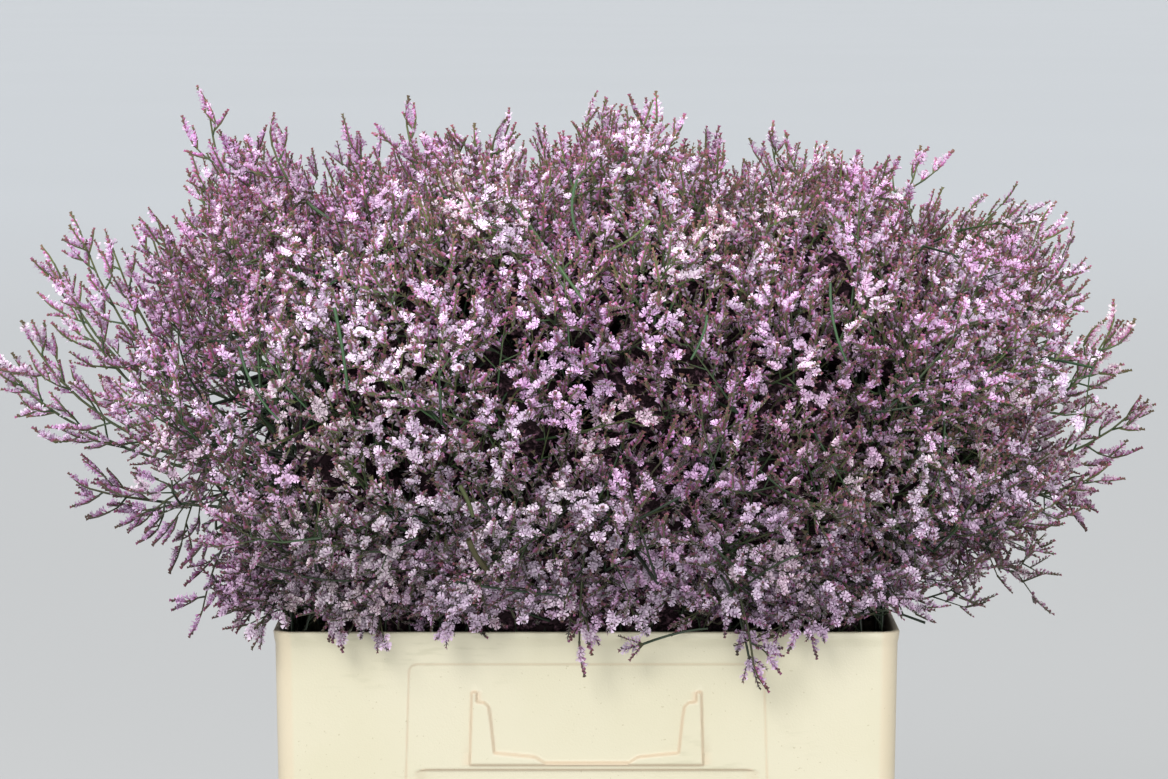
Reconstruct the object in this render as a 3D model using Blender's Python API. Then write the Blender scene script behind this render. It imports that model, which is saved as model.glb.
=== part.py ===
"""Dried statice standing in a cream flower container, in metres, +Z up.

The origin is the middle of the container's underside. Thirty cut sprays stand on the container's floor.
Each one is a stem that rises through the mouth, bends out, and opens into a head packed with pointed
flower spikes, with a few free twigs that reach past the rest.
"""

import math
import random

import bmesh
import bpy
from mathutils import Vector

# Container: outer size at the rim, and how far each side draws in at the base
RIM_LENGTH = 0.400
RIM_WIDTH = 0.300
CONTAINER_HEIGHT = 0.400
BASE_INSET = 0.005
WALL = 0.003
FLOOR = 0.004
CORNER_RADIUS = 0.012
CORNER_STEPS = 4
LIP_HEIGHT = 0.006
LIP_PROUD = 0.0012
BASE_BEVEL = 0.003

# Long faces of the container, measured down from the rim
PANEL_TOP = 0.0205
PANEL_BOTTOM = 0.205
PANEL_HALF_TOP = 0.114
PANEL_HALF_BOTTOM = 0.120
PANEL_DEPTH = 0.0010
PANEL_RADIUS = 0.006
GRIP_TOP = 0.089
GRIP_BOTTOM = 0.165
GRIP_HALF = 0.1148
GRIP_DEPTH = 0.004
GRIP_DRAFT = 0.014
GRIP_RADIUS = 0.011
HOLDER_PROUD = 0.0018
HOLDER_TOP = 0.039
HOLDER_BOTTOM = 0.0865
HOLDER_HALF = 0.0735
HOLDER_FLARE = 0.0015
HOLDER_POCKET = (
    (0.0655, 0.048),
    (0.0630, 0.0775),
    (0.0360, 0.0810),
    (0.0285, 0.0850),
)

# Cloud of flower heads above the rim: half sizes of its rounded box, out to the spikes' feet
CLOUD_RISE = 0.156
CLOUD_HALF = Vector((0.312, 0.236, 0.148))
CLOUD_SQUARENESS = 3.2
LUMP_SHARE = 0.028
LUMPS_ACROSS = 31
LUMPS_IN_DEPTH = 37
LUMPS_UP = 23
HEADS = 30
HIGHEST_HEAD = 0.97
LOWEST_HEAD = -0.62
FIRST_TURN = 0.4
HEAD_DEPTH = 0.68
HOLLOW_SHARE = 0.42
HEAD_GAP = 0.0022
ABOVE_RIM = 0.003

# Flower spikes that cover each head
SPIKES_OVER_CLOUD = 1320
LOWEST_SPIKE = -0.86
BORDER = 0.011
HIDDEN_POINTS = 15
HIDDEN_BELOW = 0.72
EXPOSED_ABOVE = 0.84
DEEPEST_DENT = 0.045
SPIKE_SHORT = 0.011
SPIKE_LONG = 0.030
SHORTEST_SPIKE = 0.003
SHORTEN = 0.85
STRAIGHTEN = 0.3
LEAN_OUT = 0.35
LEAN_UP = 0.22
LEAN_SCATTER = 0.16
TIP_CLEARANCE = 0.0006

# Stems: where they stand on the floor and pass the mouth, as half sizes of an oval
MOUTH_OVAL = (0.112, 0.076)
INNERMOST_STEM = 0.03
FOOT_SHARE = 0.85
BENDS_FROM = -0.02
BENDS_AT = 0.05
STEM_FOOT_RADIUS = 0.0030
STEM_TOP_RADIUS = 0.0022
STEM_SIDES = 3
STEM_STEPS = 6
BUNDLE_SHARE = 1.06
BUNDLE_CLEARANCE = 0.03
TOUCHING = 0.0003

# Free twigs: bare near the head, then a pointed flower spike on two of the three sides of each length
TWIG_ROOT_RADIUS = 0.0019
TWIG_TIP_RADIUS = 0.0011
TWIG_STARTS = 0.35
TWIG_BARE_STEPS = 2
TWIG_FLOWER_STEPS = 6
TWIG_FLOWER_LENGTH = 0.074
TWIG_FLOWERS_FROM = (0.45, 0.80)
TWIG_BEND_AT = 0.6
TWIG_DIP = 0.018
TWIG_RISES_ABOVE = 0.3
TWIG_ARCH = 0.12
TWIG_SPIKE_LENGTH = 0.021
TWIG_SPIKE_SHORTEST = 0.7
TWIG_SPIKE_LEAN = 0.75

# Where the free twigs end: across, in depth and above the rim
LEFT_TIPS = (
    (-0.400, -0.02, 0.177),
    (-0.373, 0.05, 0.249),
    (-0.338, -0.07, 0.278),
    (-0.372, -0.09, 0.205),
    (-0.270, 0.07, 0.306),
    (-0.354, -0.05, 0.092),
    (-0.298, -0.10, 0.041),
    (-0.281, 0.03, 0.003),
    (-0.253, -0.12, -0.020),
    (-0.350, 0.13, 0.140),
)
RIGHT_TIPS = (
    (0.380, -0.03, 0.150),
    (0.371, 0.06, 0.190),
    (0.350, -0.09, 0.212),
    (0.326, 0.02, 0.252),
    (0.305, -0.05, 0.283),
    (0.347, -0.11, 0.110),
    (0.350, 0.02, 0.037),
    (0.302, 0.10, 0.014),
    (0.340, 0.15, 0.130),
)
TOP_TIPS = (
    (-0.255, 0.00, 0.356),
    (-0.212, -0.05, 0.334),
    (-0.127, 0.08, 0.343),
    (-0.059, -0.04, 0.336),
    (0.047, 0.02, 0.347),
    (0.125, 0.10, 0.330),
    (0.176, -0.03, 0.316),
    (0.230, 0.06, 0.315),
)
HANGING_TIPS = (
    (-0.155, -0.176, -0.022),
    (-0.005, -0.180, -0.030),
    (0.108, -0.182, -0.043),
    (0.143, -0.174, -0.026),
)
BACK_TIPS = (
    (-0.200, 0.286, 0.210),
    (-0.060, 0.298, 0.130),
    (0.110, 0.290, 0.225),
    (0.230, 0.266, 0.090),
    (0.040, 0.184, -0.030),
)
RANDOM_SEED = 17

GOLDEN_ANGLE = math.pi * (3 - math.sqrt(5))
UP = Vector((0, 0, 1))
HUB = Vector((0, 0, CONTAINER_HEIGHT + CLOUD_RISE / 2))


def clear_scene():
    for old in list(bpy.data.objects):
        bpy.data.objects.remove(old)


def material(name, colour, roughness):
    made = bpy.data.materials.new(name)
    made.use_nodes = True
    shader = made.node_tree.nodes["Principled BSDF"]
    shader.inputs["Base Color"].default_value = (*colour, 1)
    shader.inputs["Roughness"].default_value = roughness
    shader.inputs["Metallic"].default_value = 0
    return made


def mesh_object(name, bm):
    """A new object from bm, with its faces turned outwards."""
    bmesh.ops.recalc_face_normals(bm, faces=bm.faces)
    mesh = bpy.data.meshes.new(name)
    bm.to_mesh(mesh)
    bm.free()
    made = bpy.data.objects.new(name, mesh)
    bpy.context.scene.collection.objects.link(made)
    return made


def join_bands(bm, rings):
    """Quads between each ring of vertices and the next."""
    for lower, upper in zip(rings, rings[1:]):
        count = len(lower)
        for i in range(count):
            j = (i + 1) % count
            bm.faces.new((lower[i], lower[j], upper[j], upper[i]))


def boolean(base, cutters, operation, solver="EXACT"):
    """Applies one Boolean of all the cutters' solids to base, and removes the cutters."""
    group = bpy.data.collections.new("cutters")
    bpy.context.scene.collection.children.link(group)
    for cutter in cutters:
        bpy.context.scene.collection.objects.unlink(cutter)
        group.objects.link(cutter)
    step = base.modifiers.new(operation.lower(), "BOOLEAN")
    step.operation = operation
    step.solver = solver
    step.operand_type = "COLLECTION"
    step.collection = group
    graph = bpy.context.evaluated_depsgraph_get()
    made = bpy.data.meshes.new_from_object(base.evaluated_get(graph))
    base.modifiers.remove(step)
    base.data = made
    for cutter in cutters:
        bpy.data.objects.remove(cutter)
    bpy.data.collections.remove(group)


# Container


def half_size(height, inset=0.0):
    """Half length and half width of the container at a height, drawn in by inset."""
    draw = BASE_INSET * (1 - height / CONTAINER_HEIGHT) + inset
    return RIM_LENGTH / 2 - draw, RIM_WIDTH / 2 - draw


def rounded_ring(bm, height, inset):
    """Vertices round the container's plan at a height."""
    half_x, half_y = half_size(height, inset)
    radius = max(CORNER_RADIUS - inset, CORNER_RADIUS / 3)
    ring = []
    for corner, (sx, sy) in enumerate(((1, 1), (-1, 1), (-1, -1), (1, -1))):
        for step in range(CORNER_STEPS + 1):
            angle = math.pi / 2 * (corner + step / CORNER_STEPS)
            x = sx * (half_x - radius) + radius * math.cos(angle)
            y = sy * (half_y - radius) + radius * math.sin(angle)
            ring.append(bm.verts.new((x, y, height)))
    return ring


def container_shell():
    bm = bmesh.new()
    top = CONTAINER_HEIGHT
    profile = (
        (0.0, BASE_BEVEL),
        (BASE_BEVEL, 0.0),
        (top - LIP_HEIGHT - LIP_PROUD, 0.0),
        (top - LIP_HEIGHT, -LIP_PROUD),
        (top - LIP_PROUD, -LIP_PROUD),
        (top, 0.0),
        (top, WALL - LIP_PROUD),
        (top - LIP_PROUD, WALL),
        (FLOOR, WALL),
    )
    rings = [rounded_ring(bm, height, inset) for height, inset in profile]
    join_bands(bm, rings)
    bm.faces.new(reversed(rings[0]))
    bm.faces.new(rings[-1])
    return mesh_object("flower_container", bm)


def rounded_outline(corners, radius, steps=3):
    """A closed outline of (across, down) points with its convex corners rounded."""
    outline = []
    count = len(corners)
    for i, (x, z) in enumerate(corners):
        here = Vector((x, z))
        before = (Vector(corners[i - 1]) - here).normalized()
        after = (Vector(corners[(i + 1) % count]) - here).normalized()
        start = here + before * radius
        end = here + after * radius
        for step in range(steps + 1):
            t = step / steps
            outline.append(start * (1 - t) ** 2 + here * 2 * t * (1 - t) + end * t**2)
    return outline


def face_prism(name, outline, outer, inner, side, inner_shrink=0.0):
    """A prism on a long face: outline is (across, down from the rim), between two depths into the wall."""
    bm = bmesh.new()
    middle = sum((Vector(p) for p in outline), Vector((0, 0))) / len(outline)
    rings = []
    for depth, shrink in ((outer, 0.0), (inner, inner_shrink)):
        ring = []
        for point in outline:
            to_middle = (middle - Vector(point)).normalized() * shrink
            x, down = Vector(point) + to_middle
            height = CONTAINER_HEIGHT - down
            _, half_y = half_size(height)
            ring.append(bm.verts.new((x, side * (half_y - depth), height)))
        rings.append(ring)
    join_bands(bm, rings)
    bm.faces.new(rings[0])
    bm.faces.new(list(reversed(rings[1])))
    return mesh_object(name, bm)


def panel_outline():
    corners = (
        (-PANEL_HALF_TOP, PANEL_TOP),
        (PANEL_HALF_TOP, PANEL_TOP),
        (PANEL_HALF_BOTTOM, PANEL_BOTTOM),
        (-PANEL_HALF_BOTTOM, PANEL_BOTTOM),
    )
    return rounded_outline(corners, PANEL_RADIUS)


def grip_outline(grow=0.0):
    corners = (
        (-GRIP_HALF - grow, GRIP_TOP - grow),
        (GRIP_HALF + grow, GRIP_TOP - grow),
        (GRIP_HALF + grow, GRIP_BOTTOM + grow),
        (-GRIP_HALF - grow, GRIP_BOTTOM + grow),
    )
    return rounded_outline(corners, GRIP_RADIUS)


def holder_outline():
    """The raised U that a label card slides into, open at its top."""
    right = [(x, down) for x, down in HOLDER_POCKET]
    left = [(-x, down) for x, down in reversed(HOLDER_POCKET)]
    inside = [(HOLDER_HALF, HOLDER_TOP), *right, *left, (-HOLDER_HALF, HOLDER_TOP)]
    foot = HOLDER_HALF + HOLDER_FLARE
    return [*inside, (-foot, HOLDER_BOTTOM), (foot, HOLDER_BOTTOM)]


def flower_container(finish):
    shell = container_shell()
    added, cut = [], []
    for side in (-1, 1):
        # The wall steps in behind the grip, so that it keeps its thickness there.
        added.append(
            face_prism("grip_back", grip_outline(WALL), WALL / 2, GRIP_DEPTH + WALL, side, GRIP_DRAFT)
        )
        cut.append(face_prism("grip", grip_outline(), -WALL, GRIP_DEPTH, side, GRIP_DRAFT))
        cut.append(face_prism("panel", panel_outline(), -WALL, PANEL_DEPTH, side))
    boolean(shell, added, "UNION")
    boolean(shell, cut, "DIFFERENCE")
    holders = [
        face_prism("label_holder", holder_outline(), -HOLDER_PROUD, WALL / 2, side) for side in (-1, 1)
    ]
    boolean(shell, holders, "UNION")
    shell.data.materials.clear()
    shell.data.materials.append(finish)
    shell.data.shade_smooth()
    shell.data.set_sharp_from_angle(angle=math.radians(35))


# Places of the heads


def cloud_centre():
    return Vector((0, 0, CONTAINER_HEIGHT + CLOUD_RISE))


def in_cloud(point):
    """Below 1 inside the cloud's lumpy rounded box, 1 on it and above 1 outside."""
    away = point - cloud_centre()
    terms = (abs(away[k] / CLOUD_HALF[k]) ** CLOUD_SQUARENESS for k in range(3))
    lumps = math.sin(LUMPS_ACROSS * away.x + 1.1)
    lumps += math.sin(LUMPS_IN_DEPTH * away.y + 2.0) * math.cos(LUMPS_UP * (away.z + away.x))
    return sum(terms) ** (1 / CLOUD_SQUARENESS) * (1 - LUMP_SHARE * lumps)


def spread(count, lowest, highest=1.0):
    """Directions spaced by the golden angle, from one height on a ball up to another."""
    ways = []
    for i in range(count):
        rise = highest - (highest - lowest) * (i + 0.5) / count
        turn = i * GOLDEN_ANGLE
        level = math.sqrt(1 - rise * rise)
        ways.append(Vector((level * math.cos(turn), level * math.sin(turn), rise)))
    return ways


def spike_feet():
    """Places spread evenly over the whole cloud, which its spikes stand between."""
    feet = []
    for way in spread(SPIKES_OVER_CLOUD, LOWEST_SPIKE):
        away = Vector([way[k] * CLOUD_HALF[k] for k in range(3)])
        feet.append(cloud_centre() + away / in_cloud(cloud_centre() + away))
    return feet


def head_places():
    """(place, share of the way down from the top, turn) of each head, spaced by the golden angle."""
    places = []
    for i in range(HEADS):
        rise = HIGHEST_HEAD - (HIGHEST_HEAD - LOWEST_HEAD) * i / (HEADS - 1)
        turn = i * GOLDEN_ANGLE + FIRST_TURN
        level = math.sqrt(1 - rise * rise)
        way = Vector((level * math.cos(turn), level * math.sin(turn), rise))
        away = Vector([way[k] * CLOUD_HALF[k] for k in range(3)])
        edge = in_cloud(cloud_centre() + away)
        places.append((cloud_centre() + away * (HEAD_DEPTH / edge), i / (HEADS - 1), turn))
    return places


def cell_planes(index, centres):
    """Planes (point, inward normal) half way to each other head, with the gap between heads."""
    here = centres[index]
    planes = []
    for other, there in enumerate(centres):
        if other == index:
            continue
        inward = (here - there).normalized()
        planes.append(((here + there) / 2 + inward * HEAD_GAP / 2, inward))
    return planes


def inside_cell(point, planes, spare):
    return all((point - foot).dot(inward) >= spare for foot, inward in planes)


# Parts of a spray


def hollow_planes(centre, turn):
    """Planes that keep a head clear of the cloud's hollow middle and of the bundle of stems below it."""
    away = centre - cloud_centre()
    foot = cloud_centre() + away * (HOLLOW_SHARE / HEAD_DEPTH)
    steepness = [abs(a / half) ** (CLOUD_SQUARENESS - 1) / half for a, half in zip(away, CLOUD_HALF)]
    planes = [(foot, Vector([math.copysign(steep, a) for steep, a in zip(steepness, away)]).normalized())]
    half_x, half_y = (side * BUNDLE_SHARE for side in MOUTH_OVAL)
    foot = Vector((half_x * math.cos(turn), half_y * math.sin(turn), centre.z))
    facing = Vector((math.cos(turn) / half_x, math.sin(turn) / half_y, 0)).normalized()
    if (centre - foot).dot(facing) > BUNDLE_CLEARANCE:
        planes.append((foot, facing))
    return planes


def reach_to(centre, way, limits):
    """How far the head goes from its centre along way, before the cloud's surface or a limiting plane."""
    reaches = [
        (foot - centre).dot(inward) / way.dot(inward) for foot, inward in limits if way.dot(inward) < 0
    ]
    near, far = 0.0, min([RIM_LENGTH, *reaches])
    if in_cloud(centre + way * far) <= 1:
        return far
    for _ in range(20):
        middle = (near + far) / 2
        if in_cloud(centre + way * middle) > 1:
            far = middle
        else:
            near = middle
    return near


def head_core(index, centres, feet, planes, turn, chance):
    """A head: a packed faceted core with a pointed flower spike raised on each outer face."""
    centre = centres[index]
    limits = [*planes, *hollow_planes(centre, turn)]
    limits.append((Vector((0, 0, CONTAINER_HEIGHT + ABOVE_RIM)), UP))
    ways = []
    for foot in feet:
        mine = (foot - centre).length
        if mine < min((foot - other).length for other in centres) + BORDER:
            ways.append((foot - centre).normalized())
    for way in spread(HIDDEN_POINTS, -1.0):
        if in_cloud(centre + way * reach_to(centre, way, limits)) < HIDDEN_BELOW:
            ways.append(way)
    bm = bmesh.new()
    for way in ways:
        bm.verts.new(way)
    bmesh.ops.convex_hull(bm, input=bm.verts)
    for vertex in bm.verts:
        way = vertex.co.normalized()
        vertex.co = centre + way * reach_to(centre, way, limits) * chance.uniform(1 - DEEPEST_DENT, 1)
    bm.normal_update()
    for face, between in [(face, planes_between(face)) for face in bm.faces]:
        raise_spike(bm, face, [*planes, *between], chance)
    return bm


def planes_between(face):
    """Planes (point, inward normal) through a face's edges, half way between it and its neighbours."""
    middle = face.calc_center_median()
    planes = []
    for edge in face.edges:
        foot = edge.verts[0].co.copy()
        both_normals = sum((near.normal for near in edge.link_faces), Vector())
        inward = (edge.verts[1].co - foot).cross(both_normals).normalized()
        planes.append((foot, inward if inward.dot(middle - foot) > 0 else -inward))
    return planes


def raise_spike(bm, face, planes, chance):
    """Pokes one outer face of a head up into a spike that leans outwards and up, clear of the others."""
    foot = face.calc_center_median()
    if in_cloud(foot) < EXPOSED_ABOVE:
        return
    straight = face.normal.copy()
    lean = straight + (foot - HUB).normalized() * LEAN_OUT + UP * LEAN_UP
    lean += Vector([chance.uniform(-1, 1) for _ in range(3)]) * LEAN_SCATTER
    lean.normalize()
    length = chance.uniform(SPIKE_SHORT, SPIKE_LONG)
    while length > SHORTEST_SPIKE and not inside_cell(foot + lean * length, planes, TIP_CLEARANCE):
        length *= SHORTEN
        lean = lean.lerp(straight, STRAIGHTEN).normalized()
    if foot.z + lean.z * length < CONTAINER_HEIGHT + ABOVE_RIM or length <= SHORTEST_SPIKE:
        return
    tip = bmesh.ops.poke(bm, faces=[face])["verts"][0]
    tip.co = foot + lean * length


def tube_rings(bm, points, radii, sides):
    """A closed tube through points. Its sides keep one roll, carried from ring to ring."""
    across = None
    rings = []
    for i, point in enumerate(points):
        after = points[min(i + 1, len(points) - 1)]
        before = points[max(i - 1, 0)]
        along = (after - before).normalized()
        if across is None:
            across = along.orthogonal().normalized()
        across = (across - along * across.dot(along)).normalized()
        other = along.cross(across)
        ring = []
        for k in range(sides):
            angle = 2 * math.pi * k / sides
            spoke = across * math.cos(angle) + other * math.sin(angle)
            ring.append(bm.verts.new(point + spoke * radii[i]))
        rings.append(ring)
    join_bands(bm, rings)
    bm.faces.new(list(reversed(rings[0])))
    bm.faces.new(rings[-1])
    return rings


def on_curve(start, middle, end, t):
    """A point of the smooth curve that leaves start towards middle and comes to end from it."""
    return start * (1 - t) ** 2 + middle * 2 * t * (1 - t) + end * t * t


def stem_points(centre, share, turn):
    """From the container's floor, up through the mouth, and out to the head."""
    oval = math.sqrt(INNERMOST_STEM + (1 - INNERMOST_STEM) * share)
    across = MOUTH_OVAL[0] * oval * math.cos(turn)
    depth = MOUTH_OVAL[1] * oval * math.sin(turn)
    foot = Vector((across * FOOT_SHARE, depth * FOOT_SHARE, FLOOR + TOUCHING))
    mouth = Vector((across, depth, CONTAINER_HEIGHT + BENDS_FROM))
    entry = cloud_centre() + (centre - cloud_centre()) * (HOLLOW_SHARE / HEAD_DEPTH)
    above = Vector((across, depth, min(CONTAINER_HEIGHT + BENDS_AT, entry.z)))
    bend = [on_curve(mouth, above, entry, i / STEM_STEPS) for i in range(STEM_STEPS + 1)]
    return [foot, *bend, centre]


def stem(centre, share, turn):
    points = stem_points(centre, share, turn)
    last = len(points) - 1
    radii = [STEM_FOOT_RADIUS + (STEM_TOP_RADIUS - STEM_FOOT_RADIUS) * i / last for i in range(last + 1)]
    bm = bmesh.new()
    rings = tube_rings(bm, points, radii, STEM_SIDES)
    for vertex in rings[0]:
        vertex.co.z = FLOOR + TOUCHING
    return mesh_object("stem", bm)


def twig_bend(centre, tip):
    """What a free twig curves towards: it dips and turns up, or arches over where its tip hangs."""
    if tip.z < CONTAINER_HEIGHT and abs(tip.y) > RIM_WIDTH / 2:
        return Vector((tip.x, tip.y, centre.z)).lerp(centre, TWIG_ARCH)
    if tip.z < CONTAINER_HEIGHT + TWIG_RISES_ABOVE:
        return centre.lerp(tip, TWIG_BEND_AT) - UP * TWIG_DIP
    return centre.lerp(tip, TWIG_BEND_AT)


def twig_points(centre, tip):
    """Rings of a free twig from inside its head: a few along its bare part, then one to a pair of spikes."""
    tip = tip + (centre - tip).normalized() * TWIG_SPIKE_LENGTH
    bend = twig_bend(centre, tip)
    first, last = TWIG_FLOWERS_FROM
    flowers = min(last, max(first, 1 - TWIG_FLOWER_LENGTH / (tip - centre).length))
    shares = [TWIG_STARTS + (flowers - TWIG_STARTS) * i / TWIG_BARE_STEPS for i in range(TWIG_BARE_STEPS)]
    shares += [flowers + (1 - flowers) * i / TWIG_FLOWER_STEPS for i in range(TWIG_FLOWER_STEPS + 1)]
    return [on_curve(centre, bend, tip, share) for share in shares]


def twig(centre, tip, planes, chance):
    """One free twig, with flower spikes raised from its sides and end, all inside the head's own room."""
    points = twig_points(centre, tip)
    if not all(inside_cell(point, planes, TWIG_ROOT_RADIUS) for point in points):
        return []
    thinning = (TWIG_ROOT_RADIUS - TWIG_TIP_RADIUS) / (len(points) - 1)
    bm = bmesh.new()
    tube_rings(bm, points, [TWIG_ROOT_RADIUS - thinning * i for i in range(len(points))], 3)
    bmesh.ops.recalc_face_normals(bm, faces=bm.faces)
    *sides, _, end = bm.faces
    for length in range(TWIG_BARE_STEPS, len(points) - 1):
        along = (points[length + 1] - points[length]).normalized()
        for side in range(3):
            if side == length % 3:
                continue
            poke_twig(bm, sides[3 * length + side], along, planes, chance)
    poke_twig(bm, end, along, planes, chance)
    return [mesh_object("twig", bm)]


def poke_twig(bm, face, along, planes, chance):
    """Raises one flower spike from a twig's side, leaning towards the twig's end."""
    foot = face.calc_center_median()
    lean = (along * TWIG_SPIKE_LEAN + face.normal).normalized()
    length = TWIG_SPIKE_LENGTH * chance.uniform(TWIG_SPIKE_SHORTEST, 1)
    while length > SHORTEST_SPIKE and not inside_cell(foot + lean * length, planes, TIP_CLEARANCE):
        length *= SHORTEN
    tip = bmesh.ops.poke(bm, faces=[face])["verts"][0]
    tip.co = foot + lean * length


def twig_owners(centres):
    """The free twigs' tips, each with the head whose cell it lies in."""
    owned = {i: [] for i in range(len(centres))}
    for x, y, rise in (*LEFT_TIPS, *RIGHT_TIPS, *TOP_TIPS, *HANGING_TIPS, *BACK_TIPS):
        tip = Vector((x, y, CONTAINER_HEIGHT + rise))
        nearest = min(range(len(centres)), key=lambda i: (centres[i] - tip).length)
        owned[nearest].append(tip)
    return owned


def sprays(finish):
    places = head_places()
    centres = [place for place, _, _ in places]
    feet = spike_feet()
    owned = twig_owners(centres)
    for i, (centre, share, turn) in enumerate(places):
        chance = random.Random(RANDOM_SEED + i)
        planes = cell_planes(i, centres)
        head = mesh_object(f"spray_{i + 1:02d}", head_core(i, centres, feet, planes, turn, chance))
        joined = [stem(centre, share, turn)]
        for tip in owned[i]:
            joined += twig(centre, tip, planes, chance)
        boolean(head, joined, "UNION", "MANIFOLD")
        head.data.materials.clear()
        head.data.materials.append(finish)


def main():
    clear_scene()
    cream = material("container_plastic", (0.86, 0.82, 0.66), 0.42)
    lilac = material("dried_statice", (0.60, 0.46, 0.60), 0.85)
    flower_container(cream)
    sprays(lilac)


main()
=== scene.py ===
# %% [markdown]
# # Dried statice in a flower container
#
# A big bunch of dried statice stands in a cream plastic container. The solids of the container and of
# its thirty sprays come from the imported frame, in metres. This notebook dresses them: it remakes the
# container with its soft moulded edges, and grows every spray again with forked green stems, small
# one-sided flower spikes and thousands of five-petalled florets.

import math

import bmesh
import bpy
import numpy as np
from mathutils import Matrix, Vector


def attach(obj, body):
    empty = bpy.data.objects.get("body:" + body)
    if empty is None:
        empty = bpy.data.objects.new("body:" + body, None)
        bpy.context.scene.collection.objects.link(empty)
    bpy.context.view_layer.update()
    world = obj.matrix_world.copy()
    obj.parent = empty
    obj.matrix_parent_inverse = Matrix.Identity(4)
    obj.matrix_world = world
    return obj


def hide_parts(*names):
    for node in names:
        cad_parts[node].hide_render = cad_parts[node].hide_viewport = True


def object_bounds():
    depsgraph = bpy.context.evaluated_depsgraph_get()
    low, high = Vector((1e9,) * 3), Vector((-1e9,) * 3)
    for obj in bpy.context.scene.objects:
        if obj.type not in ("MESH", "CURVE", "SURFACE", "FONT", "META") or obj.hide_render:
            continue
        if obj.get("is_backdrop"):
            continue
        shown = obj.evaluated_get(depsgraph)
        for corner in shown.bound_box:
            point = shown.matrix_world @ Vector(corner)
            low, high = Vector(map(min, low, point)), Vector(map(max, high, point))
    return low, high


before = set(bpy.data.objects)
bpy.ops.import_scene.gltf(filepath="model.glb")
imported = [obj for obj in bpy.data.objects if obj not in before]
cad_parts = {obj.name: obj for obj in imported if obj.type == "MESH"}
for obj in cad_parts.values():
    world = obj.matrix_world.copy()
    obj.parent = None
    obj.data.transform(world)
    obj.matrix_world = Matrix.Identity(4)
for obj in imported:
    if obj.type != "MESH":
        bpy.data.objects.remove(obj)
cad_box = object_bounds()
MM = 0.001
UP = np.array((0.0, 0.0, 1.0))
print("nodes:", len(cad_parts), "box:", [round(v, 4) for v in (*cad_box[0], *cad_box[1])])

# %% [markdown]
# ## The photograph's view
#
# The photograph was taken from straight in front and a little above the rim, with a long lens, so the
# container's sides hardly narrow. The camera stands 2.75 m away and looks down by about six degrees.
# The container's middle is a little right of the picture's middle, which a small shift puts right.

# %% Set up the camera
PHOTO_WIDTH = 1168
CONTAINER_MIDDLE = 586.5
CAMERA_PLACE = (0.0, -2.75, 0.83)
CAMERA_AIM = (0.0, -0.15, 0.556)
LENS = 126.8


def add_object(name, data):
    """A new object in the scene."""
    made = bpy.data.objects.new(name, data)
    bpy.context.scene.collection.objects.link(made)
    return made


def add_aimed(name, data, place, aim):
    """A camera or a lamp at a place, turned towards its aim."""
    made = add_object(name, data)
    made.location = place
    made.rotation_euler = (Vector(aim) - Vector(place)).to_track_quat("-Z", "Y").to_euler()
    return made


camera = add_aimed("camera", bpy.data.cameras.new("camera"), CAMERA_PLACE, CAMERA_AIM)
camera.data.lens = LENS
camera.data.shift_x = (PHOTO_WIDTH / 2 - CONTAINER_MIDDLE) / PHOTO_WIDTH
camera.data.clip_end = 1000
bpy.context.scene.camera = camera
print("camera looks down by", round(math.degrees(math.pi / 2 - camera.rotation_euler.x), 2), "degrees")

# %% [markdown]
# ## Mottling, a group that every finish shares
#
# No real surface has one even colour. A group with a noise inside gives a mask that runs softly
# between 0 and 1. Each material below places it with its own size and contrast, for worn patches,
# specks, or the small differences between petals.

# %% Make the mottling group
def add(tree, kind, given=None, **settings):
    """A new node with its settings. Each given input is a socket to link from, or a plain value."""
    node = tree.nodes.new(kind)
    for name, value in settings.items():
        setattr(node, name, value)
    for name, value in (given or {}).items():
        if isinstance(value, bpy.types.NodeSocket):
            tree.links.new(value, node.inputs[name])
        else:
            node.inputs[name].default_value = value
    return node


def make_mottling():
    """A group with one noise in it: coordinates and four numbers in, a mask from 0 to 1 out."""
    group = bpy.data.node_groups.new("Mottling", "ShaderNodeTree")
    new_socket = group.interface.new_socket
    new_socket("Coordinates", in_out="INPUT", socket_type="NodeSocketVector")
    for label, start in (("Patches a metre", 10.0), ("Detail", 3.0), ("From", 0.4), ("To", 0.6)):
        new_socket(label, in_out="INPUT", socket_type="NodeSocketFloat").default_value = start
    new_socket("Mask", in_out="OUTPUT", socket_type="NodeSocketFloat")
    inside = add(group, "NodeGroupInput").outputs
    noise = add(group, "ShaderNodeTexNoise", {
        "Vector": inside["Coordinates"], "Scale": inside["Patches a metre"], "Detail": inside["Detail"]})
    ends = add(group, "ShaderNodeMapRange", {
        "Value": noise.outputs["Fac"], "From Min": inside["From"], "From Max": inside["To"],
    }, interpolation_type="SMOOTHSTEP")
    add(group, "NodeGroupOutput", {"Mask": ends.outputs["Result"]})
    return group


mottling = make_mottling()
print("group", mottling.name, "has", len(mottling.nodes), "nodes")

# %% [markdown]
# ## Colours as the eye reads them, and small node helpers
#
# A photograph's colours are stored for a screen, and a shader works with light. One small function
# turns the first into the second, so the colours below can be written as they look. The others add
# one node each, and take a socket or a plain value alike.

# %% Turn screen colours into light
def light_of(red, green, blue):
    """The shader's colour of a screen colour from 0 to 255."""
    shares = np.array((red, green, blue)) / 255
    light = np.where(shares <= 0.04045, shares / 12.92, ((shares + 0.055) / 1.055) ** 2.4)
    return (*light.tolist(), 1.0)


def mottled(tree, coordinates, patches, detail, low, high):
    """The mottling group's mask, with values of its own."""
    return add(tree, "ShaderNodeGroup", {
        "Coordinates": coordinates, "Patches a metre": patches, "Detail": detail, "From": low, "To": high,
    }, node_tree=mottling).outputs["Mask"]


def mix_colours(tree, share, first, second, blend="MIX"):
    """Two colours mixed by a share."""
    given = {0: share, 6: first, 7: second}
    return add(tree, "ShaderNodeMix", given, data_type="RGBA", blend_type=blend).outputs[2]


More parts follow.
